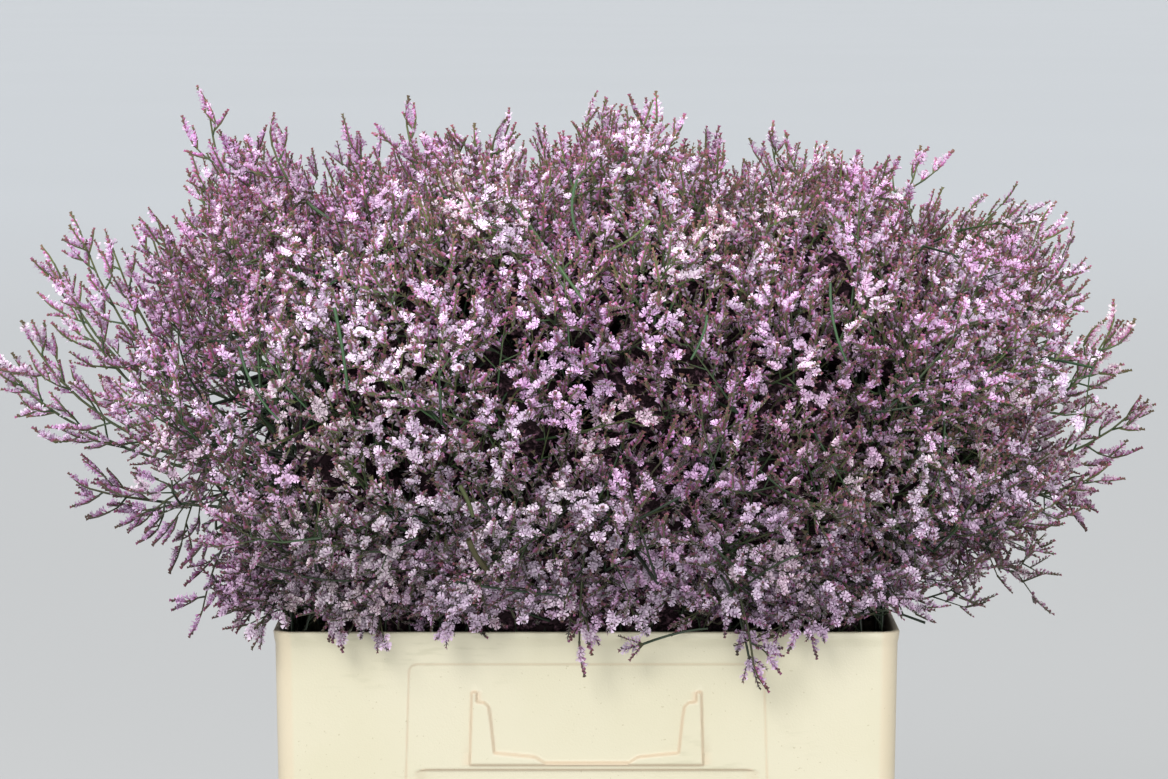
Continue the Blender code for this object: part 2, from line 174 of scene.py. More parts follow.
def ranged(tree, value, from_low=0.0, from_high=1.0, to_low=0.0, to_high=1.0, ramp="LINEAR"):
    """A number moved from one range into another, and kept inside it."""
    return add(tree, "ShaderNodeMapRange", {
        "Value": value, "From Min": from_low, "From Max": from_high, "To Min": to_low, "To Max": to_high,
    }, interpolation_type=ramp).outputs["Result"]


def product(tree, first, second):
    """One number times another."""
    return add(tree, "ShaderNodeMath", {0: first, 1: second}, operation="MULTIPLY").outputs[0]


def numbers_of(tree, layer):
    """The numbers that a mesh keeps at each point, as the parts of a colour."""
    kept = add(tree, "ShaderNodeVertexColor", layer_name=layer).outputs["Color"]
    return add(tree, "ShaderNodeSeparateColor", {"Color": kept}).outputs


def new_material(name, roughness, **constants):
    """A material, its tree and its shader. Constant values stand on the shader's own sockets."""
    made = bpy.data.materials.new(name)
    made.use_nodes = True
    shader = made.node_tree.nodes["Principled BSDF"]
    shader.inputs["Roughness"].default_value = roughness
    for label, value in constants.items():
        shader.inputs[label.replace("_", " ")].default_value = value
    return made, made.node_tree, shader


def feed(tree, shader, colour, height, strength, distance):
    """Gives the shader its colour, and its bumps through a Bump node."""
    bump = add(tree, "ShaderNodeBump", {"Strength": strength, "Distance": distance, "Height": height})
    tree.links.new(bump.outputs["Normal"], shader.inputs["Normal"])
    tree.links.new(colour, shader.inputs["Base Color"])


print("cream on screen 237, 232, 205 is", [round(v, 3) for v in light_of(237, 232, 205)])

# %% [markdown]
# ## Floor and light
#
# The photograph's background is an even pale grey, a touch bluer towards the top. A wide pale floor
# gives that here: the camera looks down a little, so the floor fills the whole picture. Its colour is
# painted paler and bluer far away, a painted light for the far floor, which the lamps light less. The
# light is soft: a bright even room, a wide lamp in front and above on the left, and a low wide one in
# front that lights the container's face.

# %% Make the floor, the room light and the lamps
FLOOR_REACH = 400.0
FLOOR_SIDES = 48
PAINTED_LIGHT_FROM = 0.5
PAINTED_LIGHT_TO = 12.0
ROOM_LIGHT = 1.12
KEY_POWER = 84.0
FILL_POWER = 42.0
LAMPS_AIM = (0.0, 0.0, 0.5)


def make_floor():
    """A wide round floor, painted paler and bluer far away as painted light."""
    bm = bmesh.new()
    bmesh.ops.create_circle(bm, cap_ends=True, radius=FLOOR_REACH, segments=FLOOR_SIDES)
    mesh = bpy.data.meshes.new("floor")
    bm.to_mesh(mesh)
    bm.free()
    finish, tree, shader = new_material("pale_floor", 0.9)
    where = add(tree, "ShaderNodeNewGeometry").outputs["Position"]
    cloudy = mottled(tree, where, 0.35, 1.0, 0.3, 0.7)
    near = mix_colours(tree, cloudy, light_of(179, 181, 182), light_of(180, 182, 183))
    far = mix_colours(tree, cloudy, light_of(190, 195, 200), light_of(191, 196, 201))
    # Painted light: the far floor gets a paler, bluer colour, where the lamps light it less.
    away = add(tree, "ShaderNodeVectorMath", {0: where}, operation="LENGTH").outputs["Value"]
    share = ranged(tree, away, PAINTED_LIGHT_FROM, PAINTED_LIGHT_TO, ramp="SMOOTHSTEP")
    tree.links.new(mix_colours(tree, share, near, far), shader.inputs["Base Color"])
    mesh.materials.append(finish)
    floor = add_object("floor", mesh)
    floor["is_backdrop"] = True


def add_lamp(name, place, size, power, colour):
    """A round soft lamp, turned towards the bunch."""
    lamp = bpy.data.lights.new(name, "AREA")
    lamp.shape = "DISK"
    lamp.size = size
    lamp.energy = power
    lamp.color = colour
    add_aimed(name, lamp, place, LAMPS_AIM)


make_floor()
room = bpy.data.worlds.new("room")
room.use_nodes = True
background = room.node_tree.nodes["Background"].inputs
background["Color"].default_value = (1.0, 1.0, 1.0, 1.0)
background["Strength"].default_value = ROOM_LIGHT
bpy.context.scene.world = room
bpy.context.scene.view_settings.view_transform = "Standard"
add_lamp("key_light", (-1.1, -2.9, 2.4), 1.4, KEY_POWER, (1.0, 0.99, 0.985))
add_lamp("front_light", (0.7, -3.2, 0.4), 1.8, FILL_POWER, (1.0, 1.0, 1.0))
print("lamps:", KEY_POWER, FILL_POWER, "room:", ROOM_LIGHT)

# %% [markdown]
# ## The container's sizes
#
# The container is a moulded crate, 400 x 300 mm at its rim. These numbers are the solid's own, in
# metres, but for the label holder's pocket, which has more corners here. On each long face a shallow
# panel is sunk in. A raised U for a label card stands on it, open at its top, and a grip is sunk in
# below.

# %% Name the container's sizes
RIM_LENGTH = 0.400
RIM_WIDTH = 0.300
CONTAINER_HEIGHT = 0.400
BASE_INSET = 0.005
WALL = 0.003
FLOOR = 0.004
CORNER_RADIUS = 0.012
LIP_HEIGHT = 0.006
LIP_PROUD = 0.0012
BASE_BEVEL = 0.003
PANEL_TOP = 0.0205
PANEL_BOTTOM = 0.205
PANEL_HALF_TOP = 0.114
PANEL_HALF_BOTTOM = 0.120
PANEL_DEPTH = 0.0010
PANEL_RADIUS = 0.006
GRIP_TOP = 0.089
GRIP_BOTTOM = 0.165
GRIP_HALF = 0.1148
GRIP_DEPTH = 0.004
GRIP_DRAFT = 0.014
GRIP_RADIUS = 0.011
HOLDER_PROUD = 0.0018
HOLDER_TOP = 0.039
HOLDER_BOTTOM = 0.0865
HOLDER_HALF = 0.0735
HOLDER_FLARE = 0.0015
HOLDER_POCKET = (
    (0.0704, 0.0452), (0.0655, 0.0458), (0.0630, 0.0480), (0.0620, 0.0520),
    (0.0592, 0.0785), (0.0330, 0.0812), (0.0270, 0.0850),
)
HOLDER_TAB = 0.0704
HOLDER_EDGE = 0.0020
print("rim", RIM_LENGTH, "x", RIM_WIDTH, "height", CONTAINER_HEIGHT)

# %% [markdown]
# ## Relief of the long faces
#
# Moulded plastic has no sharp steps. Each feature of the face is an outline, and the distance of a
# point from that outline tells how far the point has sunk or risen, with a soft ramp at the edge. The
# same distances find where the relief slopes sharply, where the finish paints a warm glow and crease shade.

# %% Measure the relief
EDGE_WIDTH = 0.0009
CREASE_REACH = 0.0005


def soft_step(values):
    """0 below 0, 1 above 1, and a smooth ramp between."""
    share = np.clip(values, 0.0, 1.0)
    return share * share * (3.0 - 2.0 * share)


def rounded(corners, radius, steps=5):
    """An outline of (across, down) points with each corner rounded."""
    outline = []
    for i, corner in enumerate(corners):
        here = Vector(corner)
        before = here + (Vector(corners[i - 1]) - here).normalized() * radius
        after = here + (Vector(corners[(i + 1) % len(corners)]) - here).normalized() * radius
        for step in range(steps + 1):
            t = step / steps
            outline.append(before * (1 - t) ** 2 + here * 2 * t * (1 - t) + after * t * t)
    return np.array([tuple(p) for p in outline])


def depth_inside(outline, across, down):
    """How deep each point lies inside a closed outline: the distance to it, negative outside."""
    nearest = np.full(across.shape, np.inf)
    inside = np.zeros(across.shape, bool)
    for (x0, z0), (x1, z1) in zip(outline, np.roll(outline, -1, axis=0)):
        dx, dz = x1 - x0, z1 - z0
        along = np.clip(((across - x0) * dx + (down - z0) * dz) / max(dx * dx + dz * dz, 1e-12), 0, 1)
        nearest = np.minimum(nearest, np.hypot(across - x0 - along * dx, down - z0 - along * dz))
        crosses = (z0 > down) != (z1 > down)
        at = x0 + (down - z0) * dx / (dz if dz else 1e-12)
        inside ^= crosses & (across < at)
    return np.where(inside, nearest, -nearest)


def holder_corners():
    """The raised U that a label card slides into."""
    foot = (HOLDER_HALF + HOLDER_FLARE, HOLDER_BOTTOM)
    right = [(HOLDER_HALF, HOLDER_TOP), (HOLDER_TAB, HOLDER_TOP), *HOLDER_POCKET]
    left = [(-x, down) for x, down in reversed(right)]
    return np.array([*right, *left, (-foot[0], foot[1]), foot])


PANEL_OUTLINE = rounded(
    ((-PANEL_HALF_TOP, PANEL_TOP), (PANEL_HALF_TOP, PANEL_TOP),
     (PANEL_HALF_BOTTOM, PANEL_BOTTOM), (-PANEL_HALF_BOTTOM, PANEL_BOTTOM)), PANEL_RADIUS)
GRIP_OUTLINE = rounded(
    ((-GRIP_HALF, GRIP_TOP), (GRIP_HALF, GRIP_TOP), (GRIP_HALF, GRIP_BOTTOM), (-GRIP_HALF, GRIP_BOTTOM)),
    GRIP_RADIUS)
HOLDER_OUTLINE = holder_corners()


def grip_relief(across, down, grow=0.0):
    """Depth of the grip: straight down at its top and foot, and sloping at its two ends."""
    mask = soft_step((depth_inside(GRIP_OUTLINE, across, down) + grow) / (2 * EDGE_WIDTH))
    slope = soft_step((GRIP_HALF + grow - np.abs(across)) / GRIP_DRAFT)
    return GRIP_DEPTH * mask * slope


def face_relief(across, down):
    """How far each point of a long face is sunk below the plain wall."""
    panel = PANEL_DEPTH * soft_step(depth_inside(PANEL_OUTLINE, across, down) / EDGE_WIDTH)
    holder = soft_step(depth_inside(HOLDER_OUTLINE, across, down) / HOLDER_EDGE + 0.5)
    deep = grip_relief(across, down)
    return np.maximum(panel, deep) * (1 - holder) - HOLDER_PROUD * holder


test = face_relief(np.array([0.0, 0.07, 0.19]), np.array([0.12, 0.07, 0.05]))
print("relief in the grip, on the holder and beside the panel, mm:", np.round(test / MM, 2))

# %% [markdown]
# ## The container's shell
#
# The shell is a stack of rings round a rounded rectangle: up the outside, over the lip and down the
# inside. A ring has more points where the face has features. The whole wall is one closed mesh, so
# its edges stay soft wherever the relief bends.

# %% Build the shell
CORNER_STEPS = 7
COARSE_STEP = 0.006
FINE_STEP = 0.0009
WIDE_STEP = 0.0025
SIDE_STEPS = 14
CORNER_PAINTED_GLOW = 0.5
SHARP_ABOVE = math.radians(50)
BUSY_ACROSS = (
    (0.0250, 0.0350, 0.0012), (0.0580, 0.0665, 0.0007), (0.0700, 0.0762, FINE_STEP),
    (0.1000, 0.1120, 0.0020), (0.1125, 0.1215, FINE_STEP),
)
BUSY_DOWN = (
    (0.0190, 0.0270, FINE_STEP), (0.0375, 0.0410, FINE_STEP), (0.0430, 0.0495, FINE_STEP),
    (0.0765, 0.0915, FINE_STEP), (0.0920, 0.1005, 0.0020), (0.1540, 0.1670, WIDE_STEP),
    (0.1980, 0.2065, WIDE_STEP),
)


def graded(start, end, busy):
    """Places from start to end: wide apart, but with each busy stretch's own step inside it."""
    places = [start]
    stretches = [part for low, high, step in busy for part in ((low, COARSE_STEP), (high, step))]
    for to, widest in (*stretches, (end, COARSE_STEP)):
        at = places[-1]
        places += list(np.linspace(at, to, 2 + int((to - at) / widest))[1:])
    return np.array(places)


def plan_ring(height, inset, across):
    """Points round the container's plan at a height, and which of them lie on a long face."""
    draw = BASE_INSET * (1 - height / CONTAINER_HEIGHT) + inset
    half_x, half_y = RIM_LENGTH / 2 - draw, RIM_WIDTH / 2 - draw
    radius = max(CORNER_RADIUS - inset, CORNER_RADIUS / 3)
    flat_x, flat_y = half_x - radius, half_y - radius
    long_side = (across * (flat_x / across[-1]), half_y)
    short_side = (half_x, np.linspace(-flat_y, flat_y, SIDE_STEPS))
    turns = np.radians(np.linspace(0, 90, CORNER_STEPS + 2)[1:-1])
    parts, on_face = [], []
    for quarter, ways in enumerate(((1, -1), (1, 1), (-1, 1), (-1, -1))):
        is_long = quarter % 2 == 0
        side = np.column_stack(np.broadcast_arrays(*(long_side if is_long else short_side))) * ways
        angle = (quarter - 1) * math.pi / 2 + turns
        bow = np.column_stack([np.cos(angle), np.sin(angle)]) * radius
        parts += [side, bow + np.array(ways) * (flat_x, flat_y)]
        on_face += [is_long] * len(side) + [False] * len(bow)
    return np.concatenate(parts), np.array(on_face)


def shell_rings():
    """(height, inset, relief function) of each ring, from the foot outside to the floor inside."""
    top = CONTAINER_HEIGHT
    bevel = BASE_BEVEL * 0.29
    downs = graded(LIP_HEIGHT + 4 * LIP_PROUD, top - BASE_BEVEL - MM, BUSY_DOWN)[::-1]
    rings = [(0.0, BASE_BEVEL, None), (bevel, bevel, None), (BASE_BEVEL, 0.0, None)]
    rings += [(top - down, 0.0, face_relief) for down in downs]
    lip = ((LIP_HEIGHT + 2 * LIP_PROUD, 0.0), (LIP_HEIGHT, -0.5 * LIP_PROUD), (LIP_PROUD, -LIP_PROUD),
           (0.3 * LIP_PROUD, -0.7 * LIP_PROUD), (0.0, 0.0), (0.0, WALL - LIP_PROUD),
           (0.3 * LIP_PROUD, WALL - 0.3 * LIP_PROUD), (LIP_PROUD, WALL))
    rings += [(top - down, inset, None) for down, inset in lip]
    edge = 0.004
    inner = (*np.linspace(0.02, GRIP_TOP - 2 * edge, 3), *np.linspace(GRIP_TOP - edge, GRIP_TOP + edge, 4),
             *np.linspace(GRIP_BOTTOM - edge, GRIP_BOTTOM + edge, 4), 0.25, top - FLOOR - edge)
    rings += [(top - down, WALL, grip_relief) for down in inner]
    return [*rings, (FLOOR, WALL, None)]


def build_shell():
    """The points of every ring, and the share of painted warm edge glow at each, from its slope."""
    half = graded(0.0, RIM_LENGTH / 2 - CORNER_RADIUS, BUSY_ACROSS)
    across = np.concatenate([-half[:0:-1], half])
    points, painted_edge_glow = [], []
    for height, inset, relief in shell_rings():
        plan, on_face = plan_ring(height, inset, across)
        down = np.full(len(plan), CONTAINER_HEIGHT - height)
        sunk, edge = np.zeros(len(plan)), np.zeros(len(plan))
        if relief is not None:
            reach = {"grow": WALL} if relief is grip_relief else {}
            sunk[on_face] = relief(plan[on_face, 0], down[on_face], **reach)
            # How sharply the relief changes here sets the share of painted warm glow and crease shade.
            for dx, dz in ((CREASE_REACH, 0), (-CREASE_REACH, 0), (0, CREASE_REACH), (0, -CREASE_REACH)):
                near = relief(plan[on_face, 0] + dx, down[on_face] + dz, **reach)
                edge[on_face] = np.maximum(edge[on_face], np.abs(near - sunk[on_face]))
        # Painted glow: the outer corners get part of the same warm tint.
        corner = (np.abs(plan) > np.array((RIM_LENGTH, RIM_WIDTH)) / 2 - CORNER_RADIUS).all(axis=1)
        edge[corner & (inset <= 0)] = CORNER_PAINTED_GLOW * PANEL_DEPTH
        plan[:, 1] -= np.sign(plan[:, 1]) * sunk
        points.append(np.column_stack([plan, np.full(len(plan), height)]))
        painted_edge_glow.append(np.clip(edge / PANEL_DEPTH, 0, 1))
    return np.array(points), np.array(painted_edge_glow)


def keep_numbers(mesh, layer, columns):
    """Stores three numbers for each point of a mesh, as a colour."""
    kept = mesh.color_attributes.new(layer, "FLOAT_COLOR", "POINT")
    four = np.column_stack([columns, np.ones(len(columns))]).astype(np.float32)
    kept.data.foreach_set("color", four.ravel())


def container_mesh():
    """One closed mesh from all the rings."""
    rings, painted_edge_glow = build_shell()
    count, around, _ = rings.shape
    faces = []
    for low in range(0, (count - 1) * around, around):
        for k in range(around):
            after = (k + 1) % around
            faces.append((low + k, low + after, low + around + after, low + around + k))
    faces.append(tuple(reversed(range(around))))
    faces.append(tuple(range((count - 1) * around, count * around)))
    mesh = bpy.data.meshes.new("flower_container")
    mesh.from_pydata(rings.reshape(-1, 3).tolist(), [], faces)
    mesh.update()
    keep_numbers(mesh, "painted_edge_glow", np.repeat(painted_edge_glow.reshape(-1, 1), 3, axis=1))
    mesh.shade_smooth()
    mesh.set_sharp_from_angle(angle=SHARP_ABOVE)
    return mesh


container = add_object("flower_container_moulded", container_mesh())
print("container:", len(container.data.polygons), "faces")

# %% [markdown]
# ## The container's finish
#
# Cream plastic, satin, a little see-through at its edges, where light through it gives a warm peach
# tint. That glow, with the shade in the creases, is painted into the colour here, where the relief
# slopes sharply and at the corners. Years of use leave grey-green rubbed patches, fine specks and a
# roughness that comes and goes. The patches are stretched sideways, because crates are slid past each
# other.

# %% Finish the container
def stretched(tree, coordinates, scale):
    """The same coordinates, squeezed along each axis."""
    return add(tree, "ShaderNodeMapping", {"Vector": coordinates, "Scale": scale}).outputs["Vector"]


def cream_plastic():
    """Cream, with painted warm glow and crease shade on sharp relief, rubbed patches, specks, uneven gloss.
    """
    finish, tree, shader = new_material("container_plastic", 0.42, Specular_IOR_Level=0.4)
    where = add(tree, "ShaderNodeTexCoord").outputs["Object"]
    painted_edge_glow = numbers_of(tree, "painted_edge_glow")["Red"]
    broad = mottled(tree, where, 9.0, 3.0, 0.35, 0.68)
    patches = mottled(tree, stretched(tree, where, (0.6, 0.6, 1.5)), 16.0, 6.0, 0.56, 0.70)
    streaks = mottled(tree, stretched(tree, where, (0.5, 0.5, 2.4)), 130.0, 3.0, 0.50, 0.68)
    specks = mottled(tree, where, 420.0, 1.0, 0.735, 0.79)
    rubbed = product(tree, patches, streaks)
    colour = mix_colours(tree, broad, light_of(190, 185, 163), light_of(187, 182, 158))
    # The first mark is painted light, a warm glow and crease shade; the rubbed patches and specks are real
    # wear.
    for mask, share, mark in (
        (painted_edge_glow, 0.42, (200, 168, 141)), (rubbed, 0.24, (150, 148, 120)), (specks, 0.5, (150, 140, 112)),
    ):
        colour = mix_colours(tree, product(tree, mask, share), colour, light_of(*mark))
    gloss = ranged(tree, patches, to_low=0.38, to_high=0.58)
    tree.links.new(gloss, shader.inputs["Roughness"])
    feed(tree, shader, colour, mottled(tree, where, 900.0, 2.0, 0.2, 0.8), 0.12, 0.0004)
    return finish


container.data.materials.append(cream_plastic())
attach(container, "root")
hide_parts("flower_container")
print("container material:", container.data.materials[0].name)

# %% [markdown]
# ## The cloud of flowers
#
# Seen as a whole, the flowers fill a rounded box above the rim, with soft lumps. A single formula
# tells for any point whether it lies inside. The thirty heads are spaced through it by the golden
# angle, and a sprig belongs to the spray whose head is nearest.

# %% Describe the cloud and its heads
CLOUD_RISE = 0.156
CLOUD_HALF = np.array((0.312, 0.236, 0.148))
CLOUD_SQUARENESS = 3.2
LUMP_SHARE = 0.028
LUMPS_ACROSS = 31
LUMPS_IN_DEPTH = 37
LUMPS_UP = 23
HEADS = 30
HIGHEST_HEAD = 0.97
LOWEST_HEAD = -0.62
FIRST_TURN = 0.4
HEAD_DEPTH = 0.68
HOLLOW_SHARE = 0.42
GOLDEN_ANGLE = math.pi * (3 - math.sqrt(5))
CLOUD_CENTRE = np.array((0.0, 0.0, CONTAINER_HEIGHT + CLOUD_RISE))
HUB = np.array((0.0, 0.0, CONTAINER_HEIGHT + CLOUD_RISE / 2))


def in_cloud(points):
    """Below 1 inside the cloud, 1 on its surface and above 1 outside."""
    away = points - CLOUD_CENTRE
    box = (np.abs(away / CLOUD_HALF) ** CLOUD_SQUARENESS).sum(axis=-1) ** (1 / CLOUD_SQUARENESS)
    lumps = np.sin(LUMPS_ACROSS * away[..., 0] + 1.1)
    lumps = lumps + np.sin(LUMPS_IN_DEPTH * away[..., 1] + 2.0) * np.cos(
        LUMPS_UP * (away[..., 2] + away[..., 0]))
    return box * (1 - LUMP_SHARE * lumps)


def unit(vectors):
    """Vectors of length one."""
    return vectors / np.maximum(np.linalg.norm(vectors, axis=-1, keepdims=True), 1e-12)


def head_places():
    """(place, share of the way down from the top, turn) of each head."""
    places = []
    for i in range(HEADS):
        rise = HIGHEST_HEAD - (HIGHEST_HEAD - LOWEST_HEAD) * i / (HEADS - 1)
        turn = i * GOLDEN_ANGLE + FIRST_TURN
        level = math.sqrt(1 - rise * rise)
        away = np.array((level * math.cos(turn), level * math.sin(turn), rise)) * CLOUD_HALF
        edge = in_cloud(CLOUD_CENTRE + away)
        places.append((CLOUD_CENTRE + away * (HEAD_DEPTH / edge), i / (HEADS - 1), turn))
    return places


heads = head_places()
head_centres = np.array([place for place, _, _ in heads])


def owner_of(points):
    """Which head each point is nearest to."""
    apart = np.linalg.norm(np.atleast_2d(points)[:, None, :] - head_centres[None], axis=2)
    return apart.argmin(axis=1)


print("heads from", np.round(head_centres.min(axis=0), 3), "to", np.round(head_centres.max(axis=0), 3))

# %% [markdown]
# ## Tissue tones
#
# A sprig passes through the same colours from stem to petal: dark green, lighter green, the olive of
# the bracts, magenta brown, the pink of the calyx, and last the almost white lilac of the petals. Each
# point of a mesh keeps its place on that scale as a number. A second number tells one spike from the
# next, and a third tells one sprig from the next, so one material can paint them all.

# %% Name the tones
DARK = 0.0
BIG_STEM = 0.04
SPRIG_FOOT = 0.07
STEM = 0.10
LEAF = 0.20
THROAT = 0.62
PETAL = 1.0
FUNNEL_FOOT = (0.14, 0.26)
BUD_MOUTH = (0.22, 0.52)
RIPE_MOUTH = (0.52, 0.84)
OF_FLOWER, OF_STEM, OF_HEART = 0, 1, 2


class Parts:
    """Meshes gathered one by one, then joined: points, triangles and the numbers of each point."""

    def __init__(self):
        self.points, self.faces, self.tones, self.kinds, self.count = [], [], [], [], 0

    def put(self, points, faces, tones, kind=OF_FLOWER):
        self.points.append(points)
        self.faces.append(faces + self.count)
        self.tones.append(tones)
        self.kinds.append(np.full(len(faces), kind))
        self.count += len(points)

    def joined(self):
        return [np.concatenate(given) for given in (self.points, self.faces, self.tones, self.kinds)]


print("tones:", STEM, LEAF, THROAT, PETAL)

# %% [markdown]
# ## Tube and crown
#
# A flower is a narrow funnel, the calyx: green at its foot, then brown and magenta, and pale lilac at
# its papery mouth. An open flower spreads a crown of five white petals over it, 5 mm across. Towards a
# spike's tip the funnels are smaller and still closed. There are tens of thousands of them, so most
# funnels are made lean, as a folded scale, with pointed petals. Only the free twigs in full view get
# fine ones, with a whole funnel and rounded petals. Deep in the bunch a flower is a single scale.

# %% Shape the flowers
PETALS = 5
PETAL_REACH = 2.35
PETAL_HALF_TURN = math.radians(25)
FUNNEL_LONG = 3.6
FUNNEL_HALF = 1.05
CROWN_RISE = 0.7
CROWN_FOOT = 0.72
AT_FOOT_LONGER = 1.12
SHORTER_TO_TIP = 0.45


def funnel(kind, long, foot_tone, mouth_tone):
    """The calyx, in millimetres, along +Z from its foot. Its outer side is +X."""
    half = FUNNEL_HALF
    if kind == "fine":
        mouth = ((half, 0, long), (0, half, long), (-half, 0, long), (0, -half, long))
        faces = ((0, 1, 2), (0, 2, 3), (0, 3, 4), (0, 4, 1))
    elif kind == "lean":
        mouth = ((-0.3, half, long), (-0.3, -half, long), (0.8, 0, 0.93 * long))
        faces = ((0, 1, 3), (0, 3, 2))
    else:
        mouth = ((0.3, 1.4 * half, long), (0.3, -1.4 * half, long))
        faces = ((0, 1, 2),)
    return np.vstack([(0, 0, 0), *mouth]), np.array(faces), np.array([foot_tone] + [mouth_tone] * len(mouth))


def crown(dice, kind, long):
    """Five petals from one point in the funnel, each wide at its end."""
    points, faces, tones = [(0, 0, CROWN_FOOT * long)], [], [THROAT]
    start = dice.uniform(0, 2 * math.pi)
    for k in range(PETALS):
        middle = start + 2 * math.pi * k / PETALS + dice.uniform(-0.08, 0.08)
        reach = PETAL_REACH * dice.uniform(0.86, 1.08)
        lift = long + CROWN_RISE + dice.uniform(-0.6, 0.6)
        at = len(points)
        side = reach * (0.88 if kind == "fine" else 1.0)
        for turn in (middle - PETAL_HALF_TURN, middle + PETAL_HALF_TURN):
            points.append((side * math.cos(turn), side * math.sin(turn), lift))
        tones += [PETAL] * 2
        if kind == "fine":
            points.append((1.08 * reach * math.cos(middle), 1.08 * reach * math.sin(middle), lift + 0.2))
            tones.append(PETAL)
            faces += [(0, at, at + 2), (0, at + 2, at + 1)]
        else:
            faces.append((0, at, at + 1))
    return np.array(points, float), np.array(faces), np.array(tones)


def flower(dice, kind, share, open_share, opens_to):
    """The parts of one flower, share of the way along its spike."""
    long = FUNNEL_LONG * (AT_FOOT_LONGER - SHORTER_TO_TIP * share) * dice.uniform(0.92, 1.08)
    ripe = share <= opens_to
    is_open = ripe and dice.random() < open_share
    mouth_tone = dice.uniform(*(RIPE_MOUTH if ripe else BUD_MOUTH))
    if kind == "scale":
        return [funnel(kind, long, LEAF, PETAL if is_open else mouth_tone)]
    made = [funnel(kind, long, dice.uniform(*FUNNEL_FOOT), mouth_tone)]
    return made + [crown(dice, kind, long)] if is_open else made


KINDS = ("fine", "lean", "scale")
for kind in KINDS:
    parts = flower(np.random.default_rng(1), kind, 0.1, 1.0, 1.0)
    print("an open", kind, "flower has", sum(len(faces) for _, faces, _ in parts), "triangles")

# %% [markdown]
# ## A flower spike
#
# The flowers stand close together in two rows on one side of a curved stalk, like the teeth of a
# comb, and lean towards its tip. Their green feet make a herringbone at the back. On an open spike
# about half of them are open, and the last ones are still buds. A small library of spikes, each drawn
# with other chances, is enough, because every one is turned and sized on its own when it is placed. A
# spike's stalk grows along +Z, and its flowers face +X.

# %% Build a library of spikes
SLOT_LENGTH = 1.25
SCALE_SLOT_LENGTH = 1.7
SPIKE_SHORT = 9.5
SPIKE_LONG = 16.0
ROW_TURN = math.radians(30)
LEAN_AT_FOOT = math.radians(58)
LEAN_AT_TIP = math.radians(22)
STALK_RADII = (0.75, 0.35)
SUNK_IN_STALK = 0.97


def turned(points, along, facing):
    """Points grown along +Z and facing +X, set along another direction and facing."""
    return points @ np.array([facing, np.cross(along, facing), along])


def thin_tube(path, radii, sides):
    """Rings of a tube round a path, with its triangles."""
    path = np.asarray(path, float)
    along = unit(np.gradient(path, axis=0))
    across = np.cross(along[0], (0.31, 0.52, 0.79))
    rings = []
    for k, way in enumerate(along):
        across = unit(across - way * across.dot(way))
        other = np.cross(way, across)
        angles = 2 * math.pi * np.arange(sides) / sides
        spokes = np.outer(np.cos(angles), across) + np.outer(np.sin(angles), other)
        rings.append(path[k] + spokes * radii[k])
    faces = []
    for low in range(len(path) - 1):
        for k in range(sides):
            a, b = low * sides + k, low * sides + (k + 1) % sides
            faces += [(a, b, b + sides), (a, b + sides, a + sides)]
    return np.vstack(rings), np.array(faces)


def spike(dice, kind, length, open_share, opens_to):
    """One spike, in millimetres. open_share is how many of its flowers are open, up to opens_to."""
    parts = Parts()
    bend = dice.uniform(0.08, 0.40) * length

    def place(share):
        return np.array((bend * share * share, 0.0, length * share))

    stalk = [place(share) for share in ((0.0, 0.5, 1.0) if kind == "fine" else (0.0, 1.0))]
    points, faces = thin_tube(stalk, np.linspace(*STALK_RADII, len(stalk)), 3)
    parts.put(points, faces, np.full(len(points), LEAF))
    slots = round(length / (SCALE_SLOT_LENGTH if kind == "scale" else SLOT_LENGTH))
    for slot in range(1, slots + 1):
        share = slot / slots
        tangent = unit(np.array((2 * bend * share, 0.0, length)))
        turn = (ROW_TURN if slot % 2 else -ROW_TURN) + dice.uniform(-0.25, 0.25)
        outward = unit(np.array((math.cos(turn), math.sin(turn), 0.0)))
        lean = LEAN_AT_FOOT + (LEAN_AT_TIP - LEAN_AT_FOOT) * share + dice.uniform(-0.12, 0.12)
        if slot == slots:
            lean = 0.05
        way = unit(tangent * math.cos(lean) + outward * math.sin(lean))
        facing = unit(np.cross(way, np.cross(outward, way) + (0.001, 0.002, 0.0)))
        for points, faces, tones in flower(dice, kind, share, open_share, opens_to):
            parts.put(turned(points, way, facing) + place(share) * SUNK_IN_STALK, faces, tones)
    points, faces, tones, _ = parts.joined()
    return points * MM, faces, tones


MOODS = {"open": (0.54, 0.76), "half": (0.28, 0.62), "closed": (0.06, 0.45)}
VARIANTS = 8
library_dice = np.random.default_rng(5)
LIBRARY = {}
for kind in KINDS:
    for mood, (open_share, opens_to) in MOODS.items():
        LIBRARY[kind, mood] = [
            spike(library_dice, kind, library_dice.uniform(SPIKE_SHORT, SPIKE_LONG), open_share, opens_to)
            for _ in range(VARIANTS)
        ]
for key, spikes in LIBRARY.items():
    print(key, "triangles a spike:", round(float(np.mean([len(faces) for _, faces, _ in spikes])), 1))

# %% [markdown]
# ## A sprig
#
# A sprig forks: its axis carries branchlets at a wide angle that curve up again, and each
# branchlet ends in a spike, with another spike or two from its sides. The flowers face the sprig's tip,
# so a sprig shows its pale petals from outside and its olive backs from inside. Growing sprigs by
# this rule gives every one another shape. Low over the mouth, what would grow down into the
# container's wall grows up instead.

